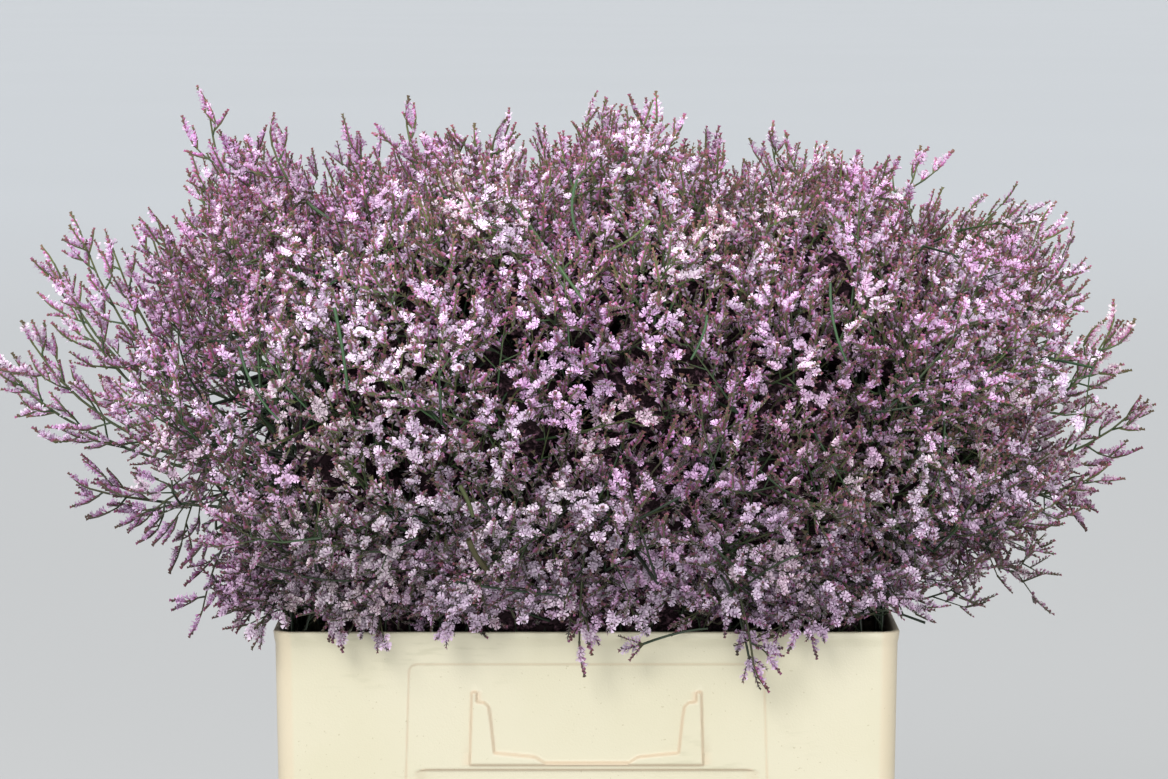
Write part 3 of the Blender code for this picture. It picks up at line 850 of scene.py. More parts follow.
# %% Grow sprigs
BRANCHLET_ANGLE = math.radians(60)
BRANCHLET_LONG = 0.029
BRANCHLET_SHORT = 0.012
SPRIG_RADIUS = 0.00105
THICK_FROM = 0.0013
BRANCHLET_BEND = 0.55
BRANCHLET_ALONG = 0.80
BRANCHLET_TURNED = 0.30
THINNER_BRANCHLET = 0.6
THINNER_TIP = 0.45
LAST_BRANCHLET = 0.97
TO_TIP, TO_SKY, TO_OUTSIDE = 0.4, 0.7, 0.6
LESS_OPEN_CHANCE = 0.2
SPIKE_SIZES = (1.0, 1.35)
SIDE_SPIKE_SIZE = 0.92
INNER_PAINTED_SHADE = 0.6
WALL_REACH = 0.025


class Spray:
    """Everything that grows on one spray: tubes as they are, and spikes as places in the library."""

    def __init__(self):
        self.parts = Parts()
        self.spikes = {}

    def tube(self, path, radii, sides, tones, chance):
        points, faces = thin_tube(path, radii, sides)
        tone = np.repeat(np.asarray(tones, float), sides)
        numbers = np.column_stack([tone, np.full(len(points), chance), np.full(len(points), chance)])
        self.parts.put(points, faces, numbers, OF_STEM)

    def spike(self, key, root, along, facing, size, spike_chance, sprig_chance):
        self.spikes.setdefault(key, []).append((root, along, facing, size, spike_chance, sprig_chance))


def curve(start, middle, end, shares):
    """Points of the smooth curve that leaves start towards middle and comes to end from it."""
    t = np.asarray(shares)[:, None]
    return start * (1 - t) ** 2 + middle * 2 * t * (1 - t) + end * t * t


def sideways(along, dice):
    """A random direction square to along."""
    return unit(np.cross(along, dice.normal(size=3)))


def in_mouth(point):
    """Whether a point stands over the container's mouth, or in it."""
    return abs(point[0]) < RIM_LENGTH / 2 and abs(point[1]) < RIM_WIDTH / 2


def clear_of_wall(root, way):
    """The way itself, or turned up where it would lead down through the container's wall."""
    if in_mouth(root) and root[2] < CONTAINER_HEIGHT + WALL_REACH and way[2] < 0:
        return way * (1, 1, -1)
    return way


def add_spike(spray, dice, root, along, towards, look, size=1.0):
    """A spike from root. Its flowers stand on the side that faces the light: up and out."""
    if in_mouth(root) and root[2] < CONTAINER_HEIGHT - WALL:
        return
    along = unit(clear_of_wall(root, along))
    towards = towards * TO_TIP + UP * TO_SKY + unit(root - HUB) * TO_OUTSIDE
    facing = towards - along * towards.dot(along)
    if np.linalg.norm(facing) < 0.2:
        facing = sideways(along, dice)
    kind, mood, sprig_chance = look
    if mood == "open" and dice.random() < LESS_OPEN_CHANCE:
        mood = "half"
    # Painted shade: spikes of plain scales, in the inner layer and in the mouth, get darker numbers.
    brightness = dice.random() * (INNER_PAINTED_SHADE if kind == "scale" else 1.0)
    spray.spike((kind, mood, int(dice.integers(VARIANTS))), root, along, unit(facing),
                size * dice.uniform(*SPIKE_SIZES), brightness, sprig_chance)


def grow_branchlet(spray, dice, root, way, tip_way, length, spikes, look, radius):
    """A branchlet that leaves along way and turns towards tip_way, with spikes at its end and sides."""
    way, tip_way = clear_of_wall(root, way), clear_of_wall(root, tip_way)
    middle = root + way * length * BRANCHLET_BEND
    end = root + way * length * BRANCHLET_ALONG + tip_way * length * BRANCHLET_TURNED
    count = 3 if look[0] == "fine" else 2
    path = curve(root, middle, end, np.linspace(0, 1, count))
    radii = np.linspace(radius, radius * THINNER_BRANCHLET, count)
    spray.tube(path, radii, 3, np.linspace(STEM, LEAF, count), look[2])
    end_way = unit(end - middle)
    add_spike(spray, dice, end, end_way + sideways(end_way, dice) * 0.3, tip_way, look)
    for number in range(spikes - 1):
        share = 0.4 + 0.45 * number / max(spikes - 2, 1) if spikes > 2 else 0.55
        at = curve(root, middle, end, (share,))[0]
        aside = unit(np.cross(end_way, tip_way) + sideways(end_way, dice) * 0.4)
        aside = aside * (1 if number % 2 else -1)
        add_spike(spray, dice, at, end_way * 0.8 + aside + tip_way * 0.2, tip_way, look, SIDE_SPIKE_SIZE)


def grow_sprig(spray, dice, axis, first, branchlets, spikes, look, radius, size=1.0):
    """A sprig along axis, a path of points, with branchlets from the share first up to its tip."""
    steps = len(axis) - 1
    along = unit(np.gradient(axis, axis=0))
    radii = np.linspace(radius, radius * THINNER_TIP, steps + 1)
    sides = 4 if radius > THICK_FROM else 3
    spray.tube(axis, radii, sides, np.linspace(SPRIG_FOOT, LEAF, steps + 1), look[2])
    turn = dice.uniform(0, 2 * math.pi)
    for number in range(branchlets):
        share = first + (LAST_BRANCHLET - first) * (number + dice.uniform(0.1, 0.6)) / branchlets
        at = share * steps
        low = min(int(at), steps - 1)
        root = axis[low] + (axis[low + 1] - axis[low]) * (at - low)
        tip_way = along[low]
        aside = unit(np.cross(tip_way, (0.2, 0.5, 0.84)))
        turn += GOLDEN_ANGLE + dice.uniform(-0.5, 0.5)
        out = aside * math.cos(turn) + np.cross(tip_way, aside) * math.sin(turn)
        angle = BRANCHLET_ANGLE + dice.uniform(-0.35, 0.3)
        way = unit(tip_way * math.cos(angle) + out * math.sin(angle))
        length = BRANCHLET_LONG + (BRANCHLET_SHORT - BRANCHLET_LONG) * number / max(branchlets - 1, 1)
        length *= size * dice.uniform(0.8, 1.2)
        grow_branchlet(spray, dice, root, way, tip_way, length, spikes, look, radius * THINNER_BRANCHLET)
    add_spike(spray, dice, axis[-1], along[-1], sideways(along[-1], dice), look)


sprays = [Spray() for _ in heads]


def spray_at(point):
    """The spray whose head is nearest to a point."""
    return sprays[int(owner_of(point)[0])]


def chance_look(dice, kind, *moods):
    """What the spikes of a sprig look like: their kind, one of the moods, and the sprig's own number."""
    return (kind, str(dice.choice(moods)), dice.random())


print("ready to grow", len(sprays), "sprays")

# %% [markdown]
# ## Sprigs over the cloud
#
# The sprigs stand all over the cloud, a hand's breadth deep. Their tips are picked from many chance
# points so that no two are closer than a set distance, which is wider at the back and widest on the
# airy left side. The bunch's left foot has none at all: only free twigs stand there. The top has a few
# dips. Each sprig leans out from the middle of the bunch and turns up at its tip. A thin branch joins
# its foot to the head. Below them grows a second, closer layer of plainer sprigs.

# %% Pick the places and grow the sprigs
SPACING = 0.0262
BACK_SPACING = 0.036
BACK_FROM = 0.05
TOP_FROM = 0.2
AIRY_SPACING = 0.054
AIRY_FROM = -0.228
CANDIDATES = 16000
RANDOM_SEED = 17
SPRIG_LONG = 0.082
BARE_FOOT = 0.30
BRANCH_RADII = (0.0019, 0.0016, SPRIG_RADIUS)
TOP_DROP = 0.003
TOP_DIPS = ((-0.178, 0.050, 0.020), (-0.042, 0.018, 0.016), (0.110, 0.024, 0.030), (0.236, 0.042, 0.040))
LEFT_FOOT_FROM = -0.232
LEFT_FOOT_BELOW = 0.082
LOW_BAND = 0.09
OUTWARDS = 0.30
FROM_HUB = 0.25
UPWARDS = 0.50
LESS_UP_LOW_DOWN = 0.70
AT_RANDOM = 0.44
OUTER_DEPTH = (-0.010, 0.028)
INNER_LEVEL = 0.92
INNER_DEPTH = (0.0, 0.015)
INNER_SPREAD = 0.85


def cloud_points(dice, count, level):
    """Chance points on one of the cloud's levels, with the way out at each."""
    ways = unit(dice.normal(size=(count, 3)))
    ways = ways[ways[:, 2] > -0.93]
    away = ways * CLOUD_HALF
    points = CLOUD_CENTRE + away * (level / in_cloud(CLOUD_CENTRE + away)[:, None])
    away = points - CLOUD_CENTRE
    slope = np.sign(away) * np.abs(away / CLOUD_HALF) ** (CLOUD_SQUARENESS - 1) / CLOUD_HALF
    return points, unit(slope)


def spaced_tips(points, ways, spread):
    """Tips picked one after another, none too close to an earlier one."""
    kept = []
    taken = np.empty((0, 3))
    for number, point in enumerate(points):
        is_back = point[1] >= BACK_FROM and point[2] <= CONTAINER_HEIGHT + TOP_FROM
        spacing = BACK_SPACING if is_back else SPACING
        if point[0] < AIRY_FROM:
            spacing = AIRY_SPACING
        if len(taken) and np.linalg.norm(taken - point, axis=1).min() < spacing * spread:
            continue
        taken = np.vstack([taken, point])
        kept.append(number)
    return points[kept], ways[kept]


def growing_way(dice, tip, out):
    """Which way a sprig points: out of the cloud, away from its hub, and up, but less so low down."""
    low = min(max((CONTAINER_HEIGHT + LOW_BAND - tip[2]) / LOW_BAND, 0.0), 1.0)
    up = UP * (UPWARDS - LESS_UP_LOW_DOWN * low)
    return unit(out * OUTWARDS + unit(tip - HUB) * FROM_HUB + up + dice.normal(size=3) * AT_RANDOM)


def top_drop(x):
    """How far the top of the bunch lies below the cloud's: it has a few dips."""
    return TOP_DROP + sum(deep * math.exp(-((x - middle) / half) ** 2) for middle, deep, half in TOP_DIPS)


def surface_sprig(dice, tip, out, kind, depth):
    """One sprig whose tip is near the cloud's surface, between two depths below it."""
    if tip[0] < LEFT_FOOT_FROM and tip[2] < CONTAINER_HEIGHT + LEFT_FOOT_BELOW:
        return
    way = growing_way(dice, tip, out)
    tip = tip - out * dice.uniform(*depth) - UP * top_drop(tip[0]) * max(out[2], 0.0)
    length = SPRIG_LONG * dice.uniform(0.8, 1.15)
    middle = tip - way * length * 0.5
    root = middle - unit(way * 0.5 + out * 0.6) * length * 0.5
    owner = int(owner_of(tip)[0])
    look = chance_look(dice, kind, "open", "open", "open", "half", "closed")
    axis = curve(root, middle, tip, np.linspace(0, 1, 4))
    grow_sprig(sprays[owner], dice, axis, BARE_FOOT, 6, 3, look, SPRIG_RADIUS)
    centre = head_centres[owner]
    bend = centre * 0.55 + root * 0.45 - UP * 0.01
    branch = curve(centre, bend, root, (0, 0.5, 1.0))
    sprays[owner].tube(branch, BRANCH_RADII, 3, (DARK, DARK, STEM), look[2])


dice = np.random.default_rng(RANDOM_SEED)
for kind, level, spread, depth in (
    ("lean", 1.0, 1.0, OUTER_DEPTH), ("scale", INNER_LEVEL, INNER_SPREAD, INNER_DEPTH),
):
    tips, outs = spaced_tips(*cloud_points(dice, CANDIDATES, level), spread)
    for tip, out in zip(tips, outs):
        surface_sprig(dice, tip, out, kind, depth)
    print("sprigs made of", kind, "spikes:", len(tips))

# %% [markdown]
# ## Sprigs over the rim
#
# Where the bunch meets the container, sprigs lean out over the rim and nod, so no gap shows there.
# They start inside the mouth, pass over the rim's edge and end just outside it. Others lie along the
# rim, most of them in front, and rows of plainer ones lean in the mouth behind them.

# %% Grow the sprigs over the rim
RIM_SPRIG_STEP = 0.017
RIM_PASS = 0.010
RIM_OUTSIDE = 0.014
RIGHT_SIDE_RISE = 0.026
LYING_RISE = (0.013, 0.046)
LYING_LOW = (0.004, 0.018)
LYING_INSET = 0.018
ROW_INSETS = (0.010, 0.032, 0.060)


def rim_places(inset):
    """Points round the mouth, inset from the rim's edge, with the way out at each."""
    places = []
    half_x, half_y = RIM_LENGTH / 2 - inset, RIM_WIDTH / 2 - inset
    for side in (-1, 1):
        for x in np.arange(-half_x + 0.01, half_x - 0.005, RIM_SPRIG_STEP):
            places.append(((x, side * half_y, CONTAINER_HEIGHT), (0.0, side, 0.0)))
        for y in np.arange(-half_y + 0.01, half_y - 0.005, RIM_SPRIG_STEP):
            places.append(((side * half_x, y, CONTAINER_HEIGHT), (side, 0.0, 0.0)))
    return [(np.array(place), np.array(out)) for place, out in places]


def rim_sprig(dice, place, out):
    """A sprig that arches over the rim and nods just outside it."""
    aside = np.cross(out, UP)
    tip = place + out * (RIM_OUTSIDE + dice.uniform(0, 0.016)) + aside * dice.uniform(-0.035, 0.035)
    tip = tip + UP * (dice.uniform(0.003, 0.032) + RIGHT_SIDE_RISE * max(out[0], 0.0))
    root = place - out * dice.uniform(0.03, 0.05) + UP * dice.uniform(0.0, 0.02)
    middle = place - out * 0.004 + UP * (RIM_PASS + dice.uniform(0.025, 0.05))
    middle = middle + aside * dice.uniform(-0.01, 0.01)
    axis = curve(root, middle, tip, np.linspace(0, 1, 5))
    look = chance_look(dice, "lean", "open", "open", "half")
    grow_sprig(spray_at(tip), dice, axis, 0.42, 5, 2, look, SPRIG_RADIUS, 0.8)


def lying_sprig(dice, place, out, low, high):
    """A sprig that lies along the rim, between two heights above it."""
    aside = np.cross(out, UP) * dice.choice((-1, 1))
    middle = place + out * dice.uniform(-0.006, 0.022) + UP * dice.uniform(low, high)
    middle = middle + UP * RIGHT_SIDE_RISE * max(out[0], 0.0)
    half = aside * dice.uniform(0.025, 0.04)
    tip = middle + half + out * dice.uniform(-0.004, 0.018) + UP * dice.uniform(-0.012, 0.018)
    root = middle - half - out * 0.02 + UP * dice.uniform(-0.01, 0.006)
    axis = curve(root, middle + UP * 0.01, tip, np.linspace(0, 1, 4))
    look = chance_look(dice, "lean", "open", "half")
    grow_sprig(spray_at(tip), dice, axis, 0.15, 5, 3, look, SPRIG_RADIUS, 0.75)


def mouth_sprig(dice, place, out):
    """A sprig that leans in the mouth, behind those over the rim."""
    root = place - UP * dice.uniform(0.0, 0.02)
    aside = np.cross(out, UP) * dice.uniform(-0.035, 0.035)
    tip = place + out * dice.uniform(0.0, 0.03) + aside + UP * dice.uniform(0.02, 0.07)
    axis = curve(root, place + UP * 0.02, tip, np.linspace(0, 1, 4))
    look = ("scale", "open", dice.random())
    grow_sprig(spray_at(tip), dice, axis, 0.1, 6, 2, look, SPRIG_RADIUS, 0.8)


for place, out in rim_places(0.0):
    rim_sprig(dice, place, out)
    lying_sprig(dice, place, out, *LYING_RISE)
    if out[1] < 0:
        lying_sprig(dice, place, out, *LYING_RISE)
        lying_sprig(dice, place - out * LYING_INSET, out, *LYING_LOW)
for inset in ROW_INSETS:
    for place, out in rim_places(inset):
        mouth_sprig(dice, place, out)
print("places round the rim:", len(rim_places(0.0)))

# %% [markdown]
# ## Free twigs
#
# Past the cloud reach long twigs with bare green stems, on the left, on the right and on top, and a few
# at the back. Their ends are the solid's own twig ends. They reach outwards first and turn up at their
# ends, towards the light. Those at the sides leave their stem low down, just above the mouth. Four
# more fill the left shoulder. Twigs that hang over the front rim arch forward first and then droop.

# %% Grow the free twigs
LEFT_TIPS = (
    (-0.400, -0.02, 0.177), (-0.373, 0.05, 0.249), (-0.338, -0.07, 0.278), (-0.372, -0.09, 0.205),
    (-0.270, 0.07, 0.306), (-0.354, -0.05, 0.092), (-0.298, -0.10, 0.041), (-0.281, 0.03, 0.003),
    (-0.253, -0.12, -0.020), (-0.350, 0.13, 0.140),
)
RIGHT_TIPS = (
    (0.380, -0.03, 0.150), (0.371, 0.06, 0.190), (0.350, -0.09, 0.212), (0.326, 0.02, 0.252),
    (0.305, -0.05, 0.283), (0.347, -0.11, 0.110), (0.350, 0.02, 0.037), (0.302, 0.10, 0.014),
    (0.340, 0.15, 0.130),
)
TOP_TIPS = (
    (-0.255, 0.00, 0.356), (-0.212, -0.05, 0.334), (-0.127, 0.08, 0.343), (-0.059, -0.04, 0.336),
    (0.047, 0.02, 0.347), (0.125, 0.10, 0.330), (0.176, -0.03, 0.316), (0.230, 0.06, 0.315),
)
HANGING_TIPS = (
    (-0.155, -0.176, -0.022), (-0.005, -0.180, -0.030), (0.108, -0.182, -0.043), (0.143, -0.174, -0.026),
)
FILLING_TIPS = ((-0.322, -0.02, 0.262), (-0.350, -0.06, 0.236), (-0.300, 0.02, 0.272), (-0.286, -0.06, 0.284))
BACK_TIPS = (
    (-0.200, 0.286, 0.210), (-0.060, 0.298, 0.130), (0.110, 0.290, 0.225), (0.230, 0.266, 0.090),
    (0.040, 0.184, -0.030),
)
TWIG_BEND_AT = 0.80
TWIG_BEND_RISE = 0.28
SIDE_TWIG_FROM = 0.26
SIDE_TWIG_ABOVE = 0.09
ROOT_SHARE = 0.62
ROOT_RISE = 0.06
TWIG_ARCH = 0.12
TWIG_STEP = 0.014
END_SHORT = 0.029
TWIG_RADIUS = 0.0015
BARE_SHARE = 0.50
HANGING_BARE_SHARE = 0.6
PALE_FROM = 0.42


def twig_middle(centre, tip):
    """What a free twig curves towards."""
    if tip[2] < CONTAINER_HEIGHT and abs(tip[1]) > RIM_WIDTH / 2:
        over = np.array((tip[0], tip[1], centre[2]))
        return over + (centre - over) * TWIG_ARCH
    return centre + (tip - centre) * (TWIG_BEND_AT, TWIG_BEND_AT, TWIG_BEND_RISE)


def free_twig(dice, place, first, look):
    """A twig from its head to a place that is given as across, depth and rise above the rim."""
    tip = np.array(place) + UP * CONTAINER_HEIGHT
    owner = int(owner_of(tip)[0])
    centre = head_centres[owner]
    if abs(tip[0]) > SIDE_TWIG_FROM and tip[2] > CONTAINER_HEIGHT + SIDE_TWIG_ABOVE:
        centre = np.array((*centre[:2] * ROOT_SHARE, CONTAINER_HEIGHT + ROOT_RISE))
    end = tip - unit(tip - twig_middle(centre, tip)) * END_SHORT
    axis = curve(centre, twig_middle(centre, end), end, np.linspace(0.1, 1.0, 9))
    length = np.linalg.norm(np.diff(axis, axis=0), axis=1).sum()
    branchlets = max(3, round(length * (1 - first) / TWIG_STEP))
    grow_sprig(sprays[owner], dice, axis, first, branchlets, 3, look, TWIG_RADIUS)


GROUPS = (
    ("fine", LEFT_TIPS + RIGHT_TIPS + TOP_TIPS, BARE_SHARE, PALE_FROM),
    ("lean", BACK_TIPS + FILLING_TIPS, BARE_SHARE, PALE_FROM),
    ("fine", HANGING_TIPS, HANGING_BARE_SHARE, 0.0),
)
for kind, group, bare_share, pale_from in GROUPS:
    for place in group:
        free_twig(dice, place, bare_share, (kind, "open", dice.uniform(pale_from, 1.0)))
print("free twigs:", sum(len(group) for _, group, _, _ in GROUPS))

# %% [markdown]
# ## Bare stems across the front
#
# Here and there a bare stem or a strap of leaf lies over the flowers, fresh green or grey-green. Their
# places are read off the photograph: how far to the side and how high above the rim each bends. They
# lie just before the cloud's surface, and belong to the nearest spray. Those that reach below the rim
# end in three flower spikes.

# %% Lay the bare stems
CROSSING_STEMS = (
    (0.0011, 0.12, ((-0.044, 0.275), (-0.022, 0.247), (-0.002, 0.220))),
    (0.0009, 0.18, ((0.039, 0.267), (0.028, 0.257), (0.014, 0.250))),
    (0.0010, 0.10, ((-0.006, 0.290), (-0.009, 0.272), (-0.003, 0.255))),
    (0.0009, 0.10, ((0.074, 0.211), (0.071, 0.198), (0.064, 0.184))),
    (0.0010, 0.06, ((0.033, 0.085), (0.042, 0.090), (0.058, 0.099))),
    (0.0009, 0.12, ((0.079, 0.066), (0.098, 0.048), (0.121, 0.038))),
    (0.0008, 0.12, ((0.132, 0.059), (0.116, 0.051), (0.098, 0.034))),
    (0.0010, 0.10, ((0.084, 0.045), (0.095, 0.020), (0.103, -0.012))),
    (0.0009, 0.10, ((-0.083, 0.040), (-0.041, 0.032), (0.002, 0.026))),
    (0.0009, 0.12, ((-0.208, 0.048), (-0.177, 0.040), (-0.149, 0.039))),
    (0.0021, 0.22, ((-0.073, 0.071), (-0.066, 0.055), (-0.055, 0.041))),
    (0.0016, 0.19, ((-0.078, 0.106), (-0.073, 0.096), (-0.070, 0.086))),
    (0.0009, 0.10, ((0.036, -0.004), (0.058, 0.003), (0.077, 0.006))),
    (0.0012, 0.08, ((-0.155, 0.215), (-0.150, 0.190), (-0.147, 0.165))),
    (0.0010, 0.10, ((-0.215, 0.190), (-0.206, 0.165), (-0.190, 0.145))),
    (0.0010, 0.10, ((0.150, 0.230), (0.152, 0.205), (0.160, 0.182))),
)
STEM_BEFORE = 0.006
STEM_POINTS = 7
STEM_SIDES = 5
THINNER_STEM = 0.8
SIDE_TURNS = (-0.7, 0.0, 0.7)
FOREMOST_LOW = -0.166


def front_of_cloud(x, rise):
    """Where the cloud's surface stands at a place seen from the front, without its lumps."""
    level = abs(x / CLOUD_HALF[0]) ** CLOUD_SQUARENESS
    level += abs((rise - CLOUD_RISE) / CLOUD_HALF[2]) ** CLOUD_SQUARENESS
    return min(-CLOUD_HALF[1] * max(1 - level, 0.0) ** (1 / CLOUD_SQUARENESS), FOREMOST_LOW)


for radius, tone, places in CROSSING_STEMS:
    first, bend, last = (
        np.array((x, front_of_cloud(x, rise) - STEM_BEFORE, CONTAINER_HEIGHT + rise)) for x, rise in places)
    path = curve(first, bend * 2 - (first + last) / 2, last, np.linspace(0, 1, STEM_POINTS))
    spray = spray_at(bend)
    radii = np.linspace(radius, radius * THINNER_STEM, STEM_POINTS)
    spray.tube(path, radii, STEM_SIDES, np.full(STEM_POINTS, tone), 0.5)
    if min(first[2], bend[2], last[2]) < CONTAINER_HEIGHT:
        end, before = (first, path[1]) if first[2] < last[2] else (last, path[-2])
        way = unit(end - before)
        for turn in SIDE_TURNS:
            aside = np.cross(way, (0.0, 1.0, 0.0)) * turn
            add_spike(spray, dice, end, way + aside, way, ("lean", "open", 0.5))
print("bare stems:", len(CROSSING_STEMS))

# %% [markdown]
# ## Stems and the dark heart of each head
#
# The cut stems stand on the container's floor, rise through its mouth and bend out to the heads. Deep
# in a head the twigs are so dense that no light comes through. A lump whose colour is painted shade
# stands for that thicket, well below the sprigs.

# %% Add stems and hearts
MOUTH_OVAL = (0.112, 0.076)
INNERMOST_STEM = 0.03
FOOT_SHARE = 0.85
BENDS_FROM = -0.02
BENDS_AT = 0.05
TOUCHING = 0.0003
STEM_FOOT_RADIUS = 0.0030
STEM_TOP_RADIUS = 0.0022
HEART_LEVEL = 0.80
TOP_HEART_DROP = 0.12
LEFT_HEART_LEVEL = 0.56
HEART_POINTS = 1500
MOUTH_POINTS = 400
MOUTH_HALF = np.array((0.175, 0.128, 0.03))
HEART_LUMPS = (-0.05, 0.03)
HEART_OVER_RIM = 0.004


def stem_path(centre, share, turn):
    """From the container's floor, up through the mouth, and out to the head."""
    oval = math.sqrt(INNERMOST_STEM + (1 - INNERMOST_STEM) * share)
    across, depth = MOUTH_OVAL[0] * oval * math.cos(turn), MOUTH_OVAL[1] * oval * math.sin(turn)
    foot = np.array((across * FOOT_SHARE, depth * FOOT_SHARE, FLOOR + TOUCHING))
    mouth = np.array((across, depth, CONTAINER_HEIGHT + BENDS_FROM))
    entry = CLOUD_CENTRE + (centre - CLOUD_CENTRE) * (HOLLOW_SHARE / HEAD_DEPTH)
    above = np.array((across, depth, min(CONTAINER_HEIGHT + BENDS_AT, entry[2])))
    bend = curve(mouth, above, entry, np.linspace(0, 1, STEM_POINTS))
    return np.vstack([foot, (foot + mouth) / 2, bend, centre])


def heart_of(number, dice):
    """A closed lump from the cloud's inner levels that belong to one head."""
    ways = unit(dice.normal(size=(HEART_POINTS, 3)))
    away = ways * CLOUD_HALF
    edge = in_cloud(CLOUD_CENTRE + away)[:, None]
    leftness = np.clip(-away[:, :1] / CLOUD_HALF[0], 0, 1) ** 2
    level = HEART_LEVEL + (LEFT_HEART_LEVEL - HEART_LEVEL) * leftness
    level = level - TOP_HEART_DROP * np.clip(away[:, 2:] / CLOUD_HALF[2], 0, 1) ** 2
    level = level + dice.uniform(*HEART_LUMPS, size=(HEART_POINTS, 1))
    outer = CLOUD_CENTRE + away / edge * level
    inner = CLOUD_CENTRE + away / edge * HOLLOW_SHARE
    mouth = dice.uniform(-1, 1, size=(MOUTH_POINTS, 3)) * MOUTH_HALF + (0, 0, CONTAINER_HEIGHT)
    points = np.vstack([outer[outer[:, 2] > CONTAINER_HEIGHT + HEART_OVER_RIM], inner, mouth])
    points = points[owner_of(points) == number]
    bm = bmesh.new()
    for point in points:
        bm.verts.new(point)
    made = bmesh.ops.convex_hull(bm, input=bm.verts)
    loose = {v for v in made["geom_interior"] + made["geom_unused"] if isinstance(v, bmesh.types.BMVert)}
    bmesh.ops.delete(bm, geom=list(loose), context="VERTS")
    bmesh.ops.triangulate(bm, faces=bm.faces)
    bm.verts.index_update()
    places = np.array([tuple(v.co) for v in bm.verts])
    faces = np.array([[v.index for v in f.verts] for f in bm.faces])
    bm.free()
    return places, faces


for number, (centre, share, turn) in enumerate(heads):
    path = stem_path(centre, share, turn)
    radii = np.linspace(STEM_FOOT_RADIUS, STEM_TOP_RADIUS, len(path))
    sprays[number].tube(path, radii, 6, np.full(len(path), BIG_STEM), 0.5)
    places, faces = heart_of(number, dice)
    sprays[number].parts.put(places, faces, np.zeros((len(places), 3)), OF_HEART)
print("stems and hearts:", len(heads))

# %% [markdown]
# ## Colours of the statice
#
# One scale of colours serves the whole plant. The third number makes some sprigs creamier and greener
# and others deeper magenta, the second makes each spike a little lighter or darker, and darker still
# in the inner layer as painted shade, broad patches vary the whole bunch, and a fine mottling keeps
# petals from looking printed. Low in the bunch the colours are painted deeper, a painted shade for
# the light that falls from above, and most of all the greens. Stems are smoother than petals, so they
# get a material of their own with the same scale.

# %% Make the plant's materials
SCALE = (
    (0.00, (26, 30, 23)), (0.10, (66, 102, 66)), (0.20, (98, 108, 64)), (0.30, (138, 104, 90)),
    (0.38, (172, 104, 120)), (0.46, (194, 116, 166)), (0.54, (220, 156, 214)), (0.62, (238, 202, 240)),
    (0.72, (245, 223, 250)), (1.00, (251, 238, 255)),
)
PAINTED_SHADE_FULL_AT = 0.40
PAINTED_SHADE_FROM = 0.64
SPIKE_BRIGHTNESS = (0.72, 1.20)


def plant_colour(tree, where):
    """The plant's colour at each point, from the three numbers that the mesh keeps, with painted shade low
    down.
    """
    numbers = numbers_of(tree, "tone")
    scale = add(tree, "ShaderNodeValToRGB", {"Fac": numbers["Red"]})
    stops = scale.color_ramp.elements
    stops[0].position, stops[1].position = SCALE[0][0], SCALE[-1][0]
    stops[0].color, stops[-1].color = light_of(*SCALE[0][1]), light_of(*SCALE[-1][1])
    for position, screen in SCALE[1:-1]:
        stops.new(position).color = light_of(*screen)
    # Each spike's own lighter or darker tone, darker still for the inner spikes as painted shade.
    spike_tone_and_shade = ranged(tree, numbers["Green"], 0.0, 1.0, *SPIKE_BRIGHTNESS)
    spike_tone_and_shade = add(tree, "ShaderNodeCombineColor", dict.fromkeys(("Red", "Green", "Blue"), spike_tone_and_shade))
    height = add(tree, "ShaderNodeSeparateXYZ", {"Vector": where}).outputs["Z"]
    # Painted shade: a share that grows towards the bottom of the bunch.
    low = ranged(tree, height, PAINTED_SHADE_FROM, PAINTED_SHADE_FULL_AT, ramp="SMOOTHSTEP")
    leafy = add(tree, "ShaderNodeMath", {0: numbers["Red"], 1: -0.5, 2: 1.0}, operation="MULTIPLY_ADD")
    colour = scale.outputs["Color"]
    for share, tint in (
        (ranged(tree, numbers["Blue"], 0.38, 0.0, 0.0, 0.60), light_of(220, 170, 212)),
        (product(tree, mottled(tree, where, 6.0, 2.0, 0.47, 0.62), 0.5), light_of(226, 184, 226)),
        (product(tree, mottled(tree, where, 4.3, 2.0, 0.50, 0.64), 0.5), light_of(226, 233, 214)),
        (ranged(tree, numbers["Blue"], 0.78, 1.0, 0.0, 0.45), light_of(238, 232, 202)),
        (1.0, spike_tone_and_shade.outputs["Color"]),
        # Painted shade: low in the bunch the colour is deeper, most of all on the greens.
        (product(tree, low, leafy.outputs[0]), light_of(133, 118, 128)),
        (product(tree, mottled(tree, where, 420.0, 2.0, 0.3, 0.7), 0.16), light_of(120, 84, 110)),
    ):
        colour = mix_colours(tree, share, colour, tint, "MULTIPLY")
    return colour


def plant_material(name, roughness, bumps, strength, **constants):
    """The plant's colours, with bumps of their own size."""
    finish, tree, shader = new_material(name, roughness, **constants)
    where = add(tree, "ShaderNodeTexCoord").outputs["Object"]
    bumpy = mottled(tree, where, bumps, 2.0, 0.25, 0.75)
    feed(tree, shader, plant_colour(tree, where), bumpy, strength, 0.0003)
    return finish


def dark_thicket():
    """Dark twigs behind each other, deep inside a head, their colour painted as dark as their shade."""
    finish, tree, shader = new_material("statice_painted_shade_thicket", 0.95, Specular_IOR_Level=0.1)
    where = add(tree, "ShaderNodeTexCoord").outputs["Object"]
    twiggy = mottled(tree, where, 260.0, 4.0, 0.42, 0.62)
    # Painted shade: the twigs and flowers are really there, and their colour is painted as dark as their
    # shade.
    colour = mix_colours(tree, twiggy, light_of(34, 23, 27), light_of(88, 64, 74))
    feed(tree, shader, colour, twiggy, 1.0, 0.01)
    return finish


blossom = plant_material("statice_blossom", 0.75, 700.0, 0.25, Specular_IOR_Level=0.25, Sheen_Weight=0.3)
green_stem = plant_material("statice_stem", 0.55, 260.0, 0.4, Specular_IOR_Level=0.35)
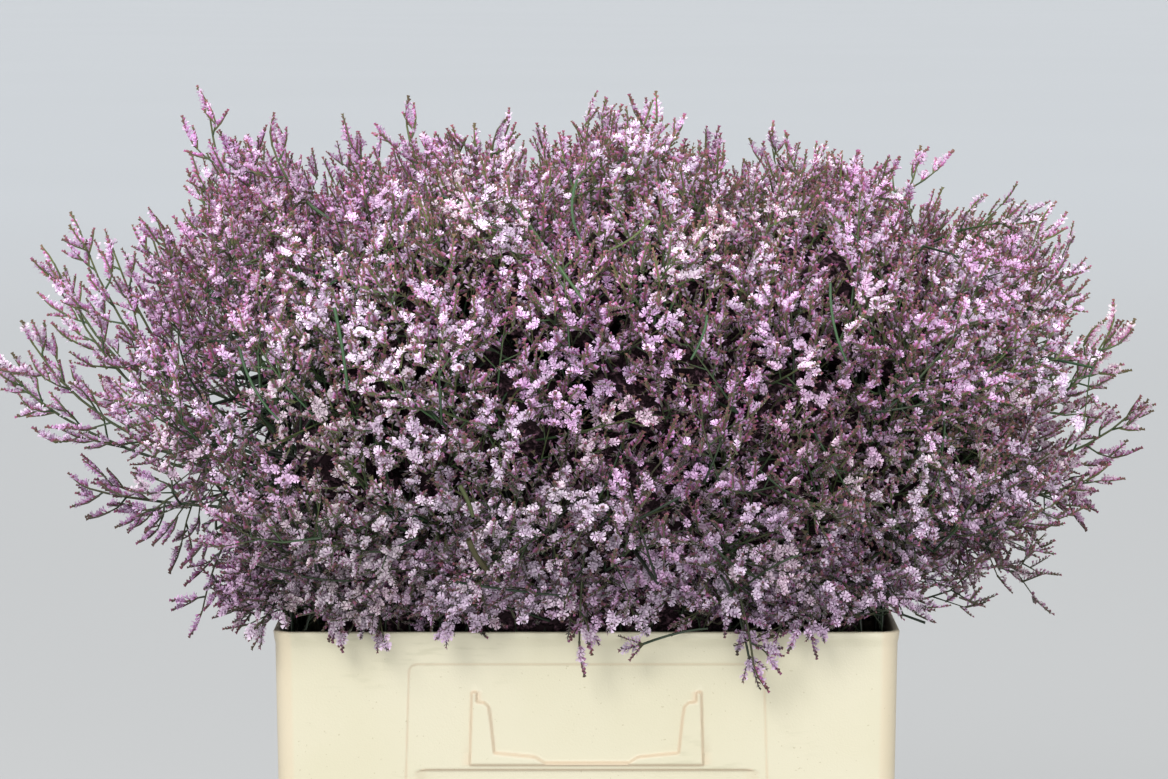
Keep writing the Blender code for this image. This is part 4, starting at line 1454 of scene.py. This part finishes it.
# The material of the dark hearts, whose colour is painted shade.
thicket = dark_thicket()
print("plant materials:", blossom.name, green_stem.name, thicket.name)

# %% [markdown]
# ## Join each spray
#
# A spray is one piece, as it is in the bunch: stem, branches, sprigs and flowers together. The spikes
# are copied out of the library here, all spikes of one kind at once.

# %% Make the spray objects
def place_spikes(spray):
    """Copies each library spike to all its places on the spray."""
    for (kind, mood, variant), places in spray.spikes.items():
        points, faces, tones = LIBRARY[kind, mood][variant]
        roots, along, facing, sizes, *chances = (np.array(values) for values in zip(*places))
        frames = np.stack([facing, np.cross(along, facing), along], axis=1)
        copies = np.einsum("vk,nkc->nvc", points, frames) * sizes[:, None, None] + roots[:, None, :]
        numbers = np.empty(copies.shape)
        numbers[..., 0] = tones
        numbers[..., 1:] = np.stack(chances, axis=1)[:, None, :]
        shifts = np.arange(len(places))[:, None, None] * len(points)
        spray.parts.put(copies.reshape(-1, 3), (faces + shifts).reshape(-1, 3), numbers.reshape(-1, 3))


def spray_object(name, spray):
    """The spray's one mesh, with its numbers and its three materials."""
    place_spikes(spray)
    points, faces, numbers, kinds = spray.parts.joined()
    mesh = bpy.data.meshes.new(name)
    mesh.from_pydata(points.tolist(), [], faces.tolist())
    mesh.update()
    keep_numbers(mesh, "tone", numbers)
    for finish in (blossom, green_stem, thicket):
        mesh.materials.append(finish)
    mesh.polygons.foreach_set("material_index", kinds.astype(np.int32))
    mesh.polygons.foreach_set("use_smooth", kinds == OF_STEM)
    return add_object(name, mesh)


total = 0
for number, spray in enumerate(sprays):
    node = f"spray_{number + 1:02d}"
    piece = spray_object(node + "_grown", spray)
    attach(piece, "root")
    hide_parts(node)
    total += len(piece.data.polygons)
print("triangles in all sprays:", total)

# %% [markdown]
# ## Sizes, and the end
#
# The dressed object has to stay the size of the solids. Both boxes are printed side by side.

# %% Print the sizes and finish
own_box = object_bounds()
for axis, low, high, cad_low, cad_high in zip("xyz", *own_box, *cad_box):
    print(axis, "from", round(low, 4), "to", round(high, 4), "CAD", round(cad_low, 4), round(cad_high, 4))
